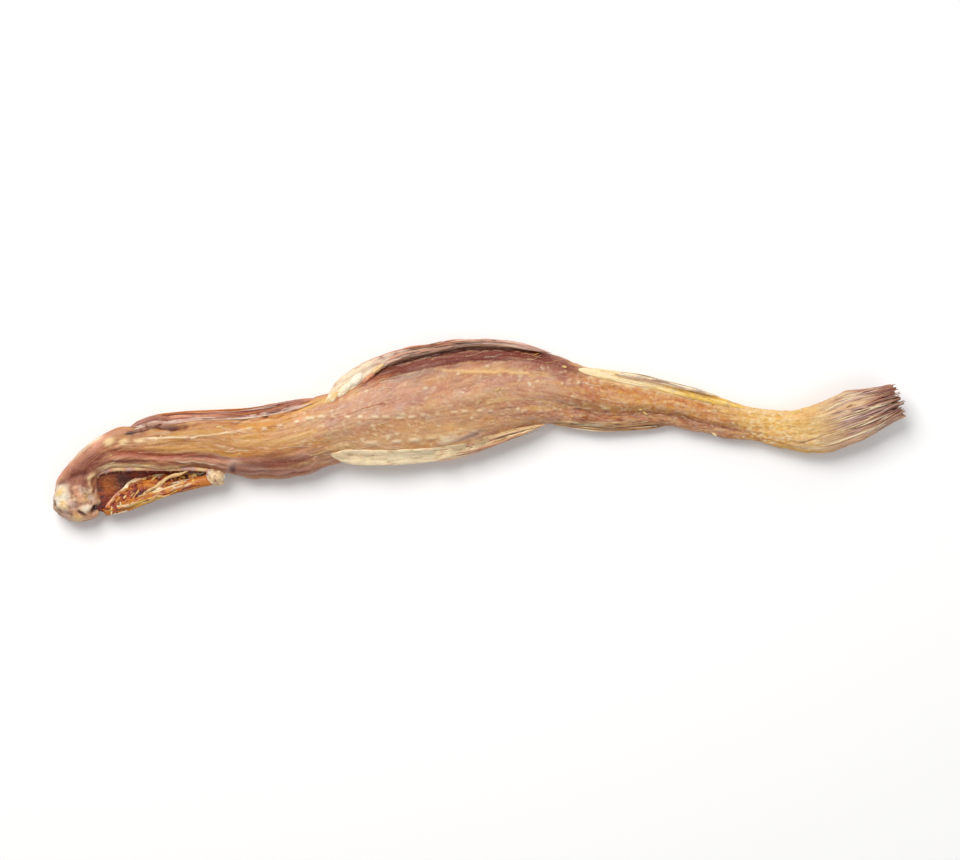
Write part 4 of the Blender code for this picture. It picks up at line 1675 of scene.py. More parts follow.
@dataclass
class Bundle:
    """A fin dried shut: long rays side by side over a thin crinkled web.

    Each station holds x, y, z and the blade's half width. The rays start within the first
    share and end within the second, sway by the wander, spread by the splay, and lift by the
    rise where they lie loose. A fin with a drape lies that far above the flank, and is fleshy
    up to a share of its length. The stand is the most that a ray may lie above the blade, and
    the bridge the widest gap that dried shut under it.
    """

    name: str
    stations: tuple
    thick: float
    rays: int
    radius: tuple
    starts: tuple
    ends: tuple
    web: tuple
    ray_hues: tuple
    seed: int
    rise: float = 0.35
    drape: float = 0.0
    fleshy: float = 0.0
    wander: float = 0.22
    splay: float = 0.25
    stand: float = 9.0
    bridge: float = 1.3
    rows: int = 180
    columns: int = 48

    def frame(self, skin: Skin) -> tuple[Grid, Grid]:
        """The blade's middle line, draped if it lies on the flank, and its side directions."""
        rows = curve_through(self.stations, self.rows)
        if self.drape > 0:
            heights = np.array([skin.height(*row[:3]) for row in rows]) + self.drape
            for _ in range(16):
                heights[1:-1] = (heights[:-2] + 2 * heights[1:-1] + heights[2:]) / 4
            rows[:, 2] = heights
        return rows, left_of(rows)

    @property
    def cling(self) -> float:
        """How closely the upper face follows the skin: only a fin on the flank does."""
        return 0.85 if self.drape > 0 else 0.0

    def gap(self, height: Grid, level: Grid) -> Grid:
        """How far the skin lies under the blade, up to the most that the blade bridges."""
        beside = 0.3 + self.cling * self.bridge
        return np.clip(np.nan_to_num(height - level, nan=beside), 0.0, self.bridge)

    def blade(self, skin: Skin, rows: Grid, side: Grid) -> Patch:
        """The web under the rays, ragged at its edges, fleshy at its root and dried to the skin."""
        share = even(self.rows)[:, None]
        angle = round_angles(self.columns)[None]
        v, s = np.cos(angle), np.sin(angle)
        run = run_along(rows[:, :2])[:, None]
        fray = 1 + 0.07 * Grain(self.seed).fractal(run / 2.2, np.sign(v) * 2.0, 0.0)
        blunt = np.sqrt(np.clip(np.minimum(share / 0.05, (1 - share) / 0.10), 0.02, 1.0))
        half = rows[:, 3:4] * fray * blunt * (0.86 + 0.14 * held(self.fleshy * 3 - share * 3))
        flesh = held((self.fleshy - share) / 0.30 + 0.5)
        fold = Grain(self.seed + 1).billow(run / 6.0, v * rows[:, 3:4] / 0.55, 0.5)
        wave = Grain(self.seed + 2).fractal(run / 3.0, v * rows[:, 3:4] / 1.8, 0.5)
        thick = self.thick * (0.55 + 0.55 * flesh) * blunt
        height = thick / 2 * np.sign(s) * np.abs(s) ** 0.75
        relief = (0.12 - 0.08 * flesh) * fold + (0.22 - 0.08 * flesh) * wave
        height = height + relief * np.abs(s) * blunt
        points = rows[:, None, :3].repeat(self.columns, axis=1)
        points[..., :2] += side[:, None] * (half * v)[..., None]
        level = skin.heights(points[..., :2].reshape(-1, 2)).reshape(height.shape)
        over = np.broadcast_to(s >= -1e-6, height.shape)
        sink = blurred(self.gap(points[..., 2], level), 5, 3)
        points[..., 2] += height - np.where(over, self.cling, 1 - (1 - self.cling) * v**4) * sink
        least = np.where(over, level + 0.06 + 0.6 * np.maximum(height, 0.0), math.nan)
        points[..., 2] = np.fmax(points[..., 2], least)
        dark, mid, pale = self.web
        tone = coated(
            mid.light(),
            (dark, np.clip(-fold * 0.9, 0, 0.85) * (1 - 0.85 * flesh)),
            (pale, np.clip(0.75 * flesh + 0.4 * fold, 0, 0.9)),
            (self.ray_hues[-1], np.clip(wave - 0.1, 0, 0.6) * (1 - 0.7 * flesh)),
        )
        flow = stacked(run, v * half, s * 0.5)
        return Patch(points, tone, np.clip(fold, -1, 1), flow)

    def ray(self, skin: Skin, rows: Grid, side: Grid, draw: Draw, index: int) -> Patch:
        """One ray along the blade, with its own start, end, width and colour."""
        place = -0.94 + 1.88 * (index + draw.uniform(0.1, 0.9)) / self.rays
        start, end = draw.uniform(*self.starts), draw.uniform(*self.ends)
        count = max(int(self.rows * (end - start) * 0.6), 12)
        share = np.linspace(start, end, count)
        at = share * (self.rows - 1)
        spots = np.arange(self.rows)
        line, out = resampled(at, spots, rows), unit(resampled(at, spots, side))
        t = (share - start) / (end - start)
        wave = draw.uniform(0.5, 1.6) * t * 2 * math.pi + draw.uniform(0, 6.3)
        v = place + self.wander * np.sin(wave) * (0.3 + 0.7 * t) + self.splay * draw.normal() * t**6
        v = np.clip(v, -1.12, 1.12)
        crown = np.sqrt(held(1 - v**2))
        lean = draw.uniform(-0.15, 1.0) * self.rise
        under = -1.0 if index % 4 == 3 else 1.0
        height = line[:, 2] + under * (self.thick * 0.30 * crown + 0.04 + lean * np.sin(t * math.pi) ** 2)
        height += draw.normal(0.0, 0.25) * t**5
        path = np.column_stack([line[:, :2] + out * (line[:, 3] * v)[:, None], height])
        levels = skin.heights(path[:, :2])
        near = np.pad(self.gap(line[:, 2], levels), 5, "edge")
        sink = self.cling * np.convolve(near, np.ones(11) / 11, "valid")
        path[:, 2] -= sink
        if under > 0:
            path[:, 2] = np.fmax(np.minimum(path[:, 2], line[:, 2] - sink + self.stand), levels + 0.10)
        radius = draw.uniform(*self.radius) * held(6 * t + 0.35) * (1 - 0.65 * t**2)
        radius = radius * (1 + 0.22 * np.sin(t * draw.uniform(9, 23) + index))
        first, second = (self.ray_hues[k] for k in draw.integers(0, len(self.ray_hues), 2))
        tone = mixed(first.light(), second, 1.4 * t - 0.2)
        return tube(path, np.maximum(radius, 0.035), tone, 6, 0.6, 0.0, index + 1)

    def build(self, skin: Skin, finish: Finish) -> Piece:
        """Builds the fin as one piece.

        Args:
            skin: The skin that it lies on.
            finish: The finish of its rays.

        Returns:
            The piece.
        """
        draw = np.random.default_rng(self.seed)
        rows, side = self.frame(skin)
        patches = [self.blade(skin, rows, side)]
        patches += [self.ray(skin, rows, side, draw, index) for index in range(self.rays)]
        return Loft(self.name).build(patches, finish)


@dataclass
class Fins:
    """The folded fins along the back, the flank and the belly."""

    finish: Finish = DriedFinish(
        "fin_rays", fibre_length=5.0, mottle=0.28, groove_shade=0.36, rough_low=0.44, rough_high=0.70,
        grain=0.40, depth=0.14,
    )
    lobes: tuple = (
        (-36.4, 8.0, 2.6, 0.9, 38, palette("BUTTER CREAM IVORY")),
        (-33.2, 10.2, 2.4, 1.1, 46, palette("CREAM IVORY CHALK")),
        # This lobe's near white is a painted highlight on the fin's root.
        (-30.4, 12.6, 2.3, 1.0, 44, palette("IVORY CHALK CHALK")),
        (-27.2, 13.2, 1.9, 0.6, 42, palette("HONEY ROSE PINK")),
        (-25.2, 15.2, 2.2, 0.7, 38, palette("BUTTER CREAM IVORY")),
    )

    def bundles(self) -> list[Bundle]:
        """The fins, from the back to the belly."""
        pale = palette("IVORY CREAM LILAC GREY CREAM IVORY TAN MAUVE")
        faded = palette("LILAC CHALK LILAC ROSE IVORY GREY")
        greyed = palette("LILAC GREY MAUVE ROSE STONE ROSE")
        rayed = palette("LILAC PLUM AMBER MAUVE MAROON RUST ROSE")
        return [
            Bundle(
                "dorsal_fin",
                path_of("-37.2 8.7 7.6 0.9, -34 10.9 7.9 1.9, -29.5 14 8.1 2.2, -25 16.6 8 1.8,"
                        "-20 18.7 8 1.45, -13 20.2 7.9 1.25, -5 21.5 7.8 1.1, 2 21.8 7.6 1,"
                        "8.6 21.2 7.2 0.95, 13 20.3 6.9 0.75, 17.5 19.2 6.3 0.35"),
                1.4, 22, (0.08, 0.16), (0.02, 0.40), (0.50, 1.0), palette("PLUM LILAC IVORY"), greyed, 61,
                rise=0.15, fleshy=0.30, rows=220, columns=64,
            ),
            Bundle(
                "pectoral_fin",
                path_of("-86 1 8.6 0.5, -82 2.6 8.6 0.9, -75 3.6 8.6 1.2, -66 4 8.6 1.2,"
                        "-56 4.8 8.7 1.2, -48 6.4 8.7 1.1, -40.5 8.2 8.6 0.6"),
                0.8, 16, (0.14, 0.26), (0.0, 0.40), (0.45, 1.0), palette("MAROON MAUVE LILAC"), rayed, 65,
                rise=0.10, drape=0.05, fleshy=0.05, wander=0.12, splay=0.0, stand=0.35, bridge=2.2,
                rows=200,
            ),
            Bundle(
                "pectoral_blade",
                path_of("-84.6 0.4 8.6 0.3, -82 1.5 8.6 0.4, -79.4 2.3 8.7 0.45, -75.6 2.1 8.7 0.4,"
                        "-72.2 2.7 8.8 0.4, -67.6 3.2 8.8 0.45, -62.8 3.3 8.8 0.5, -58 3.4 8.9 0.55,"
                        "-52 4.4 8.9 0.65, -46 5.6 8.8 0.6, -41 6.9 8.6 0.35"),
                1.0, 5, (0.08, 0.12), (0.0, 0.60), (0.40, 1.0), palette("PLUM LILAC IVORY"), faded, 67,
                rise=0.05, drape=0.75, rows=200, columns=36,
            ),
            Bundle(
                "pelvic_fin",
                path_of("-36.6 -5.7 6 0.8, -33 -6.1 6.4 1.6, -26 -6.4 6.8 1.9, -18 -6.2 6.8 1.9,"
                        "-8 -5.2 6.8 1.9, 0.5 -3.1 6.6 1.7, 8 -0.6 6.2 1.3, 16 1.8 5.6 0.7"),
                1.5, 20, (0.08, 0.16), (0.30, 0.66), (0.72, 1.0), palette("TAN CREAM IVORY"), greyed, 69,
                rise=0.10, drape=0.45, fleshy=0.58, splay=0.1, bridge=0.7, rows=200, columns=56,
            ),
            Bundle(
                "adipose_ridge",
                path_of("24 15.2 5.4 0.8, 33 13.6 5.2 1.3, 44 11.4 4.8 1.5, 55 8.4 4.3 1.3,"
                        "65 5.8 4.3 0.7"),
                1.5, 8, (0.08, 0.14), (0.05, 0.45), (0.60, 0.95), palette("BUTTER LEMON IVORY"),
                faded, 73, rise=0.15, fleshy=0.55, rows=150,
            ),
            Bundle(
                "adipose_fin",
                path_of("33 14.2 6.4 0.25, 38 13.4 6.6 0.5, 45 12.1 6.2 0.6, 52 10.4 5.6 0.5,"
                        "59 8.5 5 0.25"),
                0.45, 5, (0.06, 0.10), (0.0, 0.35), (0.60, 1.0), palette("LILAC IVORY CHALK"), faded, 75,
                rise=0.12, rows=120, columns=36,
            ),
            Bundle(
                "anal_fin",
                path_of("18 2 3.6 0.7, 27 1.4 3.4 1.2, 36 1.2 3.2 1.2, 46 1.7 3 0.8"),
                1.2, 20, (0.10, 0.18), (0.0, 0.30), (0.55, 1.0), palette("UMBER TAN CREAM"), pale, 77,
                rise=0.25, fleshy=0.10, rows=120,
            ),
        ]

    def build(self, skin: Skin) -> list[Piece]:
        """Builds each fin as its own piece, and the lobes at the root of the back fin."""
        made = [bundle.build(skin, self.finish) for bundle in self.bundles()]
        made.append(self.build_lobes(skin))
        return made

    def build_lobes(self, skin: Skin) -> Piece:
        """The pale lumps where the back fin leaves the flesh."""
        patches = []
        for index, (x, y, long, short, turn, hues) in enumerate(self.lobes):
            level = max(skin.height(x, y, 8.2), 8.2) + 0.25
            patches.append(blob((x, y, level), (long, short, 0.75), 101 + index, 0.20, hues, 34, turn))
        return Loft("dorsal_root").build(patches, self.finish)


@dataclass
class TailBrush:
    """The tail fin, dried shut into a brush of rays with a broken end."""

    top_rays: int = 46
    under_rays: int = 30
    rows: int = 34
    seed: int = 81
    finish: Finish = DriedFinish(
        "tail_rays", fibre_length=3.5, fibre_width=0.30, streaks=0.30, glints=0.40, groove_shade=0.20,
        rough_low=0.46, rough_high=0.72, grain=0.40,
    )

    def ray(self, skin: Skin, draw: Draw, index: int, top: bool) -> Patch:
        """One ray of the brush, from the tail base to its own broken end."""
        count = self.top_rays if top else self.under_rays
        across = -0.97 + 1.94 * (index + draw.uniform(0.1, 0.9)) / count
        start = skin.spine.travel_at_x(draw.uniform(82.0, 96.0))
        ragged = 2.2 * bump(across, -0.10, 0.35) - 0.5 * bump(across, -0.80, 0.25)
        end = skin.spine.length - 0.9 + 0.4 * ragged + draw.normal(0.0, 0.8)
        if index % 5 == 2:
            end -= draw.uniform(1.0, 6.0)
        travel = np.linspace(start, min(end, skin.spine.length + 1.0), self.rows)
        rows, sides = skin.spine.at(travel)
        beyond = np.maximum(travel - skin.spine.length, 0.0)[:, None]
        share = even(self.rows)
        drift = draw.normal(0.0, 0.05)
        wave = draw.uniform(0.4, 1.4) * share * 2 * math.pi + draw.uniform(0, 6.3)
        wander = np.clip(across + drift * share + 0.03 * np.sin(wave), -1.04, 1.04)
        rise = np.sqrt(held(1 - np.abs(wander) ** 2.17))
        middle = rows[:, 3] + skin.middle_share * rows[:, 4]
        over = middle + (1 - skin.middle_share) * rows[:, 4] * rise**TOP_POWER
        under = middle - skin.middle_share * rows[:, 4] * rise**UNDER_POWER
        out = draw.uniform(-0.12, 0.06) * (1.0 if top else -0.6)
        height = (over if top else under) + out * np.sin(share * math.pi / 2)
        height = height + draw.normal(0.0, 0.12) * share**4
        run = np.stack([sides[:, 1], -sides[:, 0]], axis=1)
        flat = rows[:, :2] + sides * (rows[:, 2] * wander)[:, None] + run * beyond
        radius = draw.uniform(0.10, 0.20) * held(2.5 * share + 0.15) * (1 - 0.35 * share**3)
        radius = radius * (1 + 0.18 * np.sin(share * draw.uniform(8, 20) + index))
        hues = palette("CREAM LILAC IVORY LILAC ROSE GREY")
        first, second = hues[draw.integers(0, 3)], hues[draw.integers(1, 6)]
        tone = coated(
            first.light(),
            (second, 1.5 * share - 0.3),
            (Hue.PLUM, np.clip(2.2 * share - 0.9, 0, 0.92) * draw.uniform(0.25, 1.0)),
            (Hue.SOOT, held(7 * (share - 0.90)) * draw.uniform(0.0, 0.9)),
        )
        path = np.column_stack([flat, np.maximum(height, 0.2)])
        return tube(path, radius, tone, 6, 0.7, 0.0, index + 1)

    def build(self, skin: Skin) -> Piece:
        """Builds all the rays as one piece."""
        draw = np.random.default_rng(self.seed)
        patches = [self.ray(skin, draw, index, True) for index in range(self.top_rays)]
        patches += [self.ray(skin, draw, index, False) for index in range(self.under_rays)]
        return Loft("tail_rays").build(patches, self.finish)


@dataclass
class Jaws:
    """The gaping mouth: its bones, its dark lining, the crumbled tissue and the needle teeth."""

    left: tuple = path_of(
        "-65 -11.6 5.2 1.4, -71 -13 5.9 1.3, -77 -14.6 6 1.25,"
        "-83 -16.8 5.6 1.15, -88 -18.8 5 1.05, -92.4 -20 4.2 0.9"
    )
    right: tuple = path_of(
        "-65 -10.2 3.4 1.3, -71.5 -10.1 3 1.2, -78 -10.4 2.8 1.15,"
        "-83.5 -11.5 2.8 1.1, -88.4 -15 3.1 1, -92.4 -19.3 3.9 0.9"
    )
    upper: tuple = path_of(
        "-94.6 -11.6 6.2 0.45, -93.4 -10.2 6.5 0.55, -91 -9.4 6.6 0.6, -86 -9.1 6.5 0.6,"
        "-78 -9.1 6.4 0.6, -70 -9.2 6.3 0.55, -66 -9.5 6.1 0.45"
    )
    roof: tuple = path_of(
        "-96 -18.8 4.8, -96 -15.2 5.2, -96.2 -12.4 5.4, -93.6 -9.2 5.6,"
        "-88 -8 5.4, -80 -8 5.2, -72 -7.9 5, -64 -7.6 4.8"
    )
    gape: tuple = path_of(
        "-92.6 -19.8 4, -91.2 -17.6 3.7, -88.6 -15.2 3.2, -85.2 -12.4 3,"
        "-82 -11.4 2.9, -78 -10.8 2.9, -72 -10.6 3, -65 -10.6 3.4"
    )
    knob: tuple = (-64.9, -11.0, 5.8)
    crumbs: int = 80
    bone: Finish = DriedFinish(
        "jaw_bone", fibre_length=2.6, fibre_width=0.5, streaks=0.40, mottle=0.45, glints=0.45,
        groove_shade=0.45, rough_low=0.30, rough_high=0.58, grain=0.40,
    )
    gristle: Finish = BoneFinish("jaw_knob", Hue.LILAC, 0.15, 0.38, 0.25)
    enamel: Finish = BoneFinish("needle_tooth", Hue.BUTTER, 0.5, 0.3)
    tissue: Finish = DriedFinish(
        "mouth_membrane", fibre_length=2.2, fibre_width=0.5, streaks=0.60, mottle=0.55, glints=0.35,
        groove_shade=0.75, rough_low=0.30, grain=0.60, depth=0.15,
    )

    def build(self) -> list[Piece]:
        """Builds the mouth's pieces."""
        return [
            self.build_rods(),
            self.build_lining(),
            self.build_tissue(),
            self.build_membranes(),
            self.build_crumbs(),
            self.build_knob(),
            self.build_teeth(),
        ]

    def rod(
        self, stations: tuple, hues: tuple, seed: int, count: int, columns: int, rough: float
    ) -> Patch:
        """One long bone, blotched in its own colours."""
        rows = curve_through(stations, count)
        share = even(count)
        blotch = Grain(seed).fractal(share * len(stations) * 2.2, 0.0, 0.0)
        first, second, third = hues
        tone = coated(first.light(), (second, blotch * 1.8), (third, -blotch * 1.8))
        ends = np.sqrt(np.clip(np.minimum(share, 1 - share) / 0.03, 0.05, 1.0))
        return tube(rows[:, :3], rows[:, 3] * ends, tone, columns, 0.85, rough, seed)

    def strands(self, stations: tuple, hues: tuple, count: int, seed: int) -> list[Patch]:
        """The torn sinews that are dried onto a bone, winding slowly round it."""
        draw = np.random.default_rng(seed)
        rows = curve_through(stations, 120)
        left = left_of(rows)
        patches = []
        for index in range(count):
            start = draw.uniform(0.0, 0.55)
            part = slice(int(119 * start), int(119 * min(start + draw.uniform(0.25, 0.7), 1.0)))
            line, out = rows[part], left[part]
            share = even(len(line))
            angle = draw.uniform(-0.4, 3.5) + draw.normal(0.0, 1.0) * share
            angle = angle + 0.35 * np.sin(7 * share + index)
            reach = line[:, 3] * draw.uniform(0.75, 0.95)
            aside = out * (np.cos(angle) * reach)[:, None]
            path = line[:, :3] + np.column_stack([aside, np.sin(angle) * reach * 0.85])
            radius = draw.uniform(0.18, 0.42) * (0.3 + 0.7 * np.sin(share * math.pi) ** 0.6)
            first, second = (hues[k] for k in draw.integers(0, len(hues), 2))
            tone = mixed(first.light(), second, 1.6 * share - 0.3)
            patches.append(tube(path, radius, tone, 8, 0.8, 0.2, seed + index))
        return patches

    def build_rods(self) -> Piece:
        """The two lower jaw bones, each in its sinews, and the thin upper one."""
        mixed_hues = palette("HONEY IVORY AMBER LEMON RUST UMBER CREAM")
        patches = [
            self.rod(self.left, palette("HONEY AMBER RUST"), 41, 150, 26, 0.10),
            self.rod(self.right, palette("CREAM IVORY ROSE"), 43, 150, 24, 0.06),
            self.rod(self.upper, palette("ROSE CREAM LILAC"), 45, 220, 14, 0.10),
        ]
        patches += self.strands(self.left, mixed_hues, 26, 44)
        patches += self.strands(self.right, palette("IVORY LEMON CREAM HONEY"), 12, 46)
        return Loft("jaw_bones").build(patches, self.bone)

    def build_lining(self) -> Piece:
        """The roof of the mouth, seen through the gape, painted dark as the shade inside the mouth."""
        hues = palette("SOOT MAROON RUST MAROON RUST")
        patch = Sheet(self.roof, self.gape, 1.2, 0.40, 0.10, hues, 51, rows=190, columns=80).patch()
        x, y = patch.points[..., 0], patch.points[..., 1]
        # A painted pool of light in amber, and a painted shadow in soot.
        light_pool = oval(x, y, (-91.2, -13.0), (2.4, 2.8), 1.4)
        shade = oval(x, y, (-87.4, -12.2), (2.6, 2.0), 1.4)
        patch.tone = coated(patch.tone, (Hue.AMBER, 0.60 * light_pool), (Hue.SOOT, 0.70 * shade))
        return Loft("mouth_lining").build([patch], self.tissue)

    def build_tissue(self) -> Piece:
        """The crumbled tissue that spans the lower jaw, with the hole beside the knob."""
        left = tuple((x, y + 0.2, z + 0.5, r) for x, y, z, r in self.left)
        right = tuple((x, y - 0.4, z + 0.5, r) for x, y, z, r in self.right)
        hues = palette("MAROON MAROON RUST AMBER HONEY")
        patch = Sheet(left, right, 1.3, 0.60, 0.20, hues, 57, rows=220, columns=96).patch()
        x, y = patch.points[..., 0], patch.points[..., 1]
        hole = oval(x, y, (-71.7, -12.4), (4.2, 1.7), 1.5)
        white = oval(x, y, (-79.0, -14.2), (1.3, 0.7), 1.5)
        patch.points[..., 2] += 0.4 * white - 1.1 * hole
        # Painted shade: the sunken hole is filled with maroon; the white spot is the tissue's own colour.
        patch.tone = coated(patch.tone, (Hue.MAROON, 0.95 * hole), (Hue.IVORY, 0.95 * white))
        return Loft("jaw_tissue").build([patch], self.tissue)

    def build_membranes(self) -> Piece:
        """The torn strands and small sheets that still cross the lower jaw."""
        draw = np.random.default_rng(55)
        lines = (
            "-82.8 -15.8 6.3, -79.5 -13.4 6.7, -76 -11.2 6.5, -71.5 -9.6 6.2",
            "-86.5 -17.9 6, -84.5 -15.4 5.6, -82 -13.2 5.2, -79.5 -11.2 4.8",
            "-90 -19 5.4, -88.2 -17.4 5, -86.2 -15.2 4.6",
            "-84 -17 6.5, -80 -16.3 6.9, -76 -15.4 6.9",
            "-88.8 -18.6 5.8, -85 -17.6 6.2, -81.5 -15.4 6.4",
        )
        patches = []
        for index, line in enumerate(lines):
            rows = curve_through(path_of(line), 50)
            share = even(50)
            rows[:, 2] += 0.15 * np.sin(share * 9 + index)
            rows[:, 1] += 0.18 * np.sin(share * 13 + 2 * index)
            radius = draw.uniform(0.22, 0.5) * (0.35 + 0.65 * np.sin(share * math.pi) ** 0.5)
            radius = radius * (1 + 0.3 * np.sin(share * draw.uniform(10, 20)))
            tone = mixed(Hue.CREAM.light(), Hue.GOLD, np.array(draw.uniform(0.1, 0.9)))
            patches.append(tube(rows, radius, tone, 10, 0.5, 0.25, index + 90))
        return Loft("jaw_membranes").build(patches, self.tissue)

    def build_crumbs(self) -> Piece:
        """The crumbled bits that cling all over the lower jaw."""
        draw = np.random.default_rng(58)
        left = curve_through(self.left, 100)
        right = curve_through(self.right, 100)
        hues = palette("AMBER HONEY CREAM LEMON RUST BUTTER RUST TAN GOLD AMBER ROSE")
        patches = []
        for index in range(self.crumbs):
            at = draw.integers(6, 96)
            across = draw.uniform(0.0, 1.0) ** 1.6
            x, y, z, _ = left[at] * (1 - across) + right[at] * across
            lift = 0.9 * (1 - across) + 0.5 * across + draw.normal(0.0, 0.12)
            radii = (draw.uniform(0.45, 1.5), draw.uniform(0.25, 0.60), draw.uniform(0.20, 0.42))
            trio = tuple(hues[k] for k in draw.integers(0, len(hues), 3))
            turn = 20.0 + draw.normal(0.0, 40.0)
            patches.append(blob((x, y, z + lift), radii, 120 + index, 0.16, trio, 18, turn))
        return Loft("jaw_crumbs").build(patches, self.tissue)

    def build_knob(self) -> Piece:
        """The lumpy pale gristle where the jaws hinge, with its smaller lobes."""
        x, y, z = self.knob
        lobes = (
            ((0.0, 0.0, 0.0), (2.05, 1.9, 1.7), 0.30, palette("LILAC CREAM CHALK"), 48),
            ((-1.3, 0.7, 0.3), (1.1, 1.0, 0.9), 0.30, palette("PLUM LILAC IVORY"), 28),
            ((0.6, -1.5, -0.4), (1.3, 0.8, 0.9), 0.30, palette("AMBER CREAM BUTTER"), 28),
            ((1.4, 0.9, -0.2), (0.9, 0.9, 0.9), 0.25, palette("MAUVE TAN CREAM"), 24),
        )
        patches = [
            blob((x + dx, y + dy, z + dz), radii, 47 + index, rough, hues, rows)
            for index, ((dx, dy, dz), radii, rough, hues, rows) in enumerate(lobes)
        ]
        return Loft("jaw_knob").build(patches, self.gristle)

    def tooth(self, root: Grid, lean: Grid, length: float, draw: Draw) -> Patch:
        """One curved needle tooth."""
        share = even(6)
        curl = draw.normal(0.0, 0.18, 3)
        path = root + lean * (length * share)[:, None] + curl * (length * share**2)[:, None]
        radius = draw.uniform(0.07, 0.12) * (1 - share) ** 0.8 + 0.02
        hue = palette("CREAM BUTTER SAND")[draw.integers(0, 3)]
        return tube(path, radius, hue.light(), 5)

    def build_teeth(self) -> Piece:
        """The teeth of the jaws as one piece."""
        draw = np.random.default_rng(71)
        patches = []
        for stations, count, side, up in (
            (self.left, 26, (-0.2, 0.8), 0.6),
            (self.right, 20, (-0.3, 0.7), 0.5),
            (self.upper, 26, (0.3, -0.8), -0.2),
        ):
            rows = curve_through(stations, 300)
            left = left_of(rows)
            for index in range(count):
                at = int(8 + 285 * (index + draw.uniform(0.0, 0.9)) / count)
                normal = left[at]
                if normal @ np.array(side) < 0:
                    normal = -normal
                jig = draw.normal(0.0, 0.35, 2)
                lean = unit(np.array([*(normal + jig), up + draw.normal(0.0, 0.35)]))
                root = rows[at, :3] + lean * rows[at, 3] * 0.6
                patches.append(self.tooth(root, lean, draw.uniform(0.35, 0.95), draw))
        return Loft("needle_teeth").build(patches, self.enamel)


@dataclass
class Eyes:
    """The two small dried eyes, each shrunk in its socket under a wrinkled rim."""

    places: tuple = ((-94.6, -18.9, 5.4, 0.85), (-104.0, -17.5, 5.0, 0.60))

    def build(self, skin: Skin) -> Piece:
        """Builds both eyes as one piece.

        Args:
            skin: The skin whose sockets they lie in.

        Returns:
            The piece.
        """
        patches = []
        for index, (x, y, z, radius) in enumerate(self.places):
            level = skin.height(x, y, z) - 0.22
            hues = palette("SOOT SOOT SOOT") if index == 0 else palette("SOOT STONE GREY")
            radii = (radius * 1.15, radius * 0.55, 0.42)
            patches.append(blob((x, y, level), radii, 83 + index, 0.06, hues, 26, 62.0 + 22.0 * index))
        return Loft("eyes").build(patches, EyeFinish())


@dataclass
class Litter:
    """The lifted flakes of skin and the loose fibres that stand off a dried fish."""

    flakes: int = 44
    fibres: int = 80
    seed: int = 91
    finish: Finish = DriedFinish(
        "loose_skin", fibre_length=2.0, fibre_width=0.4, streaks=0.3, glints=0.4, groove_shade=0.3,
        rough_low=0.35, rough_high=0.6, grain=0.3, depth=0.3,
    )

    def spot(self, skin: Skin, draw: Draw, reach: float) -> tuple[Grid, Grid]:
        """A random place on the skin, out to a share of its half width, and the fibres' direction."""
        travel = draw.uniform(14.0, skin.spine.length - 4.0)
        rows, side = skin.spine.at(np.array([travel]))
        across = draw.uniform(-reach, reach)
        flat = rows[0, :2] + side[0] * rows[0, 2] * across
        height = skin.height(flat[0], flat[1], rows[0, 3] + 0.45 * rows[0, 4])
        run = np.array([side[0, 1], -side[0, 0], 0.0])
        return np.array([flat[0], flat[1], height]), run

    def flake(self, skin: Skin, draw: Draw, index: int) -> Patch:
        """One curled chip of skin, held at one end."""
        root, run = self.spot(skin, draw, 0.9)
        turn = draw.normal(0.0, 0.25)
        run = np.array([run[0] * math.cos(turn) - run[1] * math.sin(turn),
                        run[0] * math.sin(turn) + run[1] * math.cos(turn), 0.0])
        share = even(8)
        length, lift = draw.uniform(0.6, 1.7), draw.uniform(0.04, 0.20)
        path = root + run * (length * share)[:, None]
        path[:, 2] += -0.03 + lift * share**1.6
        radius = draw.uniform(0.14, 0.34) * np.sin(0.25 + share * 2.6) ** 0.7
        hues = palette("BUTTER CREAM SAND ROSE TAN HONEY")
        return tube(path, radius, hues[draw.integers(0, 6)].light(), 8, 0.16, 0.1, index + 1)

    def fibre(self, skin: Skin, draw: Draw, index: int) -> Patch:
        """One hair-like fibre, lying on the skin and curling off it."""
        root, run = self.spot(skin, draw, 0.97)
        side = np.array([-run[1], run[0], 0.0])
        share = even(22)
        length = draw.uniform(2.0, 8.0)
        sway = draw.normal(0.0, 0.7) * share**2 + 0.12 * np.sin(share * draw.uniform(3, 9) + index)
        path = root + run * (length * share)[:, None] + side * sway[:, None]
        path[:, 2] = [skin.height(*point) + 0.04 for point in path]
        path[:, 2] += draw.uniform(0.0, 0.5) * share**2
        radius = np.full(22, draw.uniform(0.045, 0.085)) * (1 - 0.5 * share)
        hues = palette("IVORY CREAM SAND ROSE AMBER")
        return tube(path, radius, hues[draw.integers(0, 5)].light(), 5, 1.0, 0.0, index + 1)

    def build(self, skin: Skin) -> list[Piece]:
        """Builds the flakes and the fibres as two pieces."""
        draw = np.random.default_rng(self.seed)
        flakes = [self.flake(skin, draw, index) for index in range(self.flakes)]
        fibres = [self.fibre(skin, draw, index) for index in range(self.fibres)]
        return [
            Loft("skin_flakes").build(flakes, self.finish),
            Loft("loose_fibres").build(fibres, self.finish),
        ]


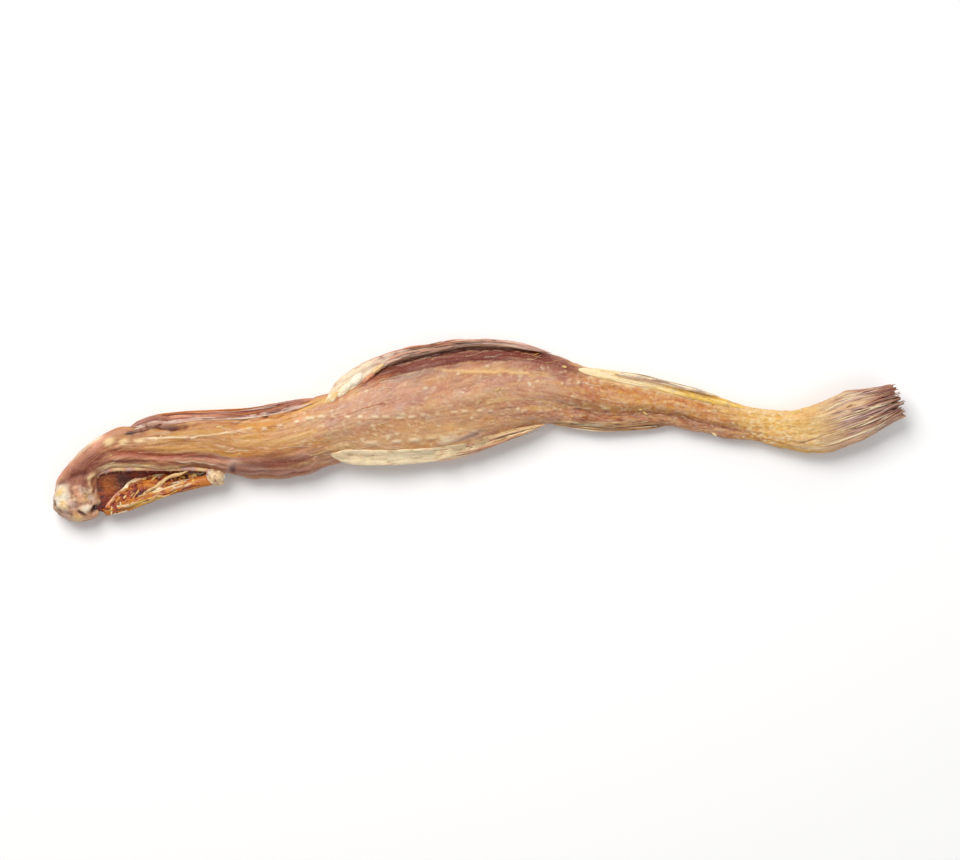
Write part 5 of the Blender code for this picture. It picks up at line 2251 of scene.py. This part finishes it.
@dataclass
class Studio:
    """The white floor, the soft lights and the camera that looks straight down."""

    height: float = 0.66
    lens: float = 100.0
    floor_size: float = 1.5
    room_light: float = 0.36
    lamps: tuple = (
        ("key", (-0.24, 0.36, 0.60), 0.46, 4.9, (1.0, 0.985, 0.955)),
        ("fill", (0.45, -0.30, 0.60), 0.60, 1.1, (0.97, 0.985, 1.0)),
        ("rim", (0.30, 0.50, 0.22), 0.25, 0.5, (1.0, 1.0, 1.0)),
    )

    def build(self) -> None:
        """Builds the floor, the lights, the world and the camera."""
        self.build_floor()
        for lamp in self.lamps:
            self.light(*lamp)
        world = bpy.data.worlds.new("soft_room")
        bpy.context.scene.world = world
        world.use_nodes = True
        room = world.node_tree.nodes["Background"].inputs
        room["Color"].default_value = (1.0, 1.0, 1.0, 1.0)
        room["Strength"].default_value = self.room_light
        camera = bpy.data.cameras.new("camera")
        camera.lens = self.lens
        camera.clip_start = 0.01
        seat = bpy.data.objects.new("camera", camera)
        seat.location = (0.0, 0.0, self.height)
        bpy.context.scene.collection.objects.link(seat)
        bpy.context.scene.camera = seat
        bpy.context.scene.view_settings.view_transform = "Standard"

    def build_floor(self) -> None:
        """A wide plane under the fish."""
        work = bmesh.new()
        bmesh.ops.create_grid(work, x_segments=2, y_segments=2, size=self.floor_size)
        data = bpy.data.meshes.new("floor")
        work.to_mesh(data)
        work.free()
        data.materials.append(material_of(FloorFinish()))
        floor = bpy.data.objects.new("floor", data)
        bpy.context.scene.collection.objects.link(floor)

    def light(self, name: str, place: tuple, size: float, power: float, colour: tuple) -> None:
        """Adds a square soft light aimed at the fish.

        Args:
            name: Its name.
            place: Where it hangs.
            size: The side of its square.
            power: Its power in watts.
            colour: Its colour.
        """
        lamp = bpy.data.lights.new(name, "AREA")
        lamp.size, lamp.energy, lamp.color = size, power, colour
        holder = bpy.data.objects.new(name, lamp)
        holder.location = place
        holder.rotation_euler = (-Vector(place)).to_track_quat("-Z", "Y").to_euler()
        bpy.context.scene.collection.objects.link(holder)


def main() -> None:
    """Builds the fish in order and reports each piece."""
    logging.basicConfig(level=logging.INFO, format="%(name)s: %(message)s")
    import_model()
    Studio().build()
    skin = Skin()
    made = skin.build()
    made += Fins().build(skin)
    made.append(TailBrush().build(skin))
    made += Jaws().build()
    made.append(Eyes().build(skin))
    made += Litter().build(skin)
    for piece in made:
        LOG.info("%s: %d faces", piece.name, len(piece.data.polygons))


if __name__ == "__main__":
    main()
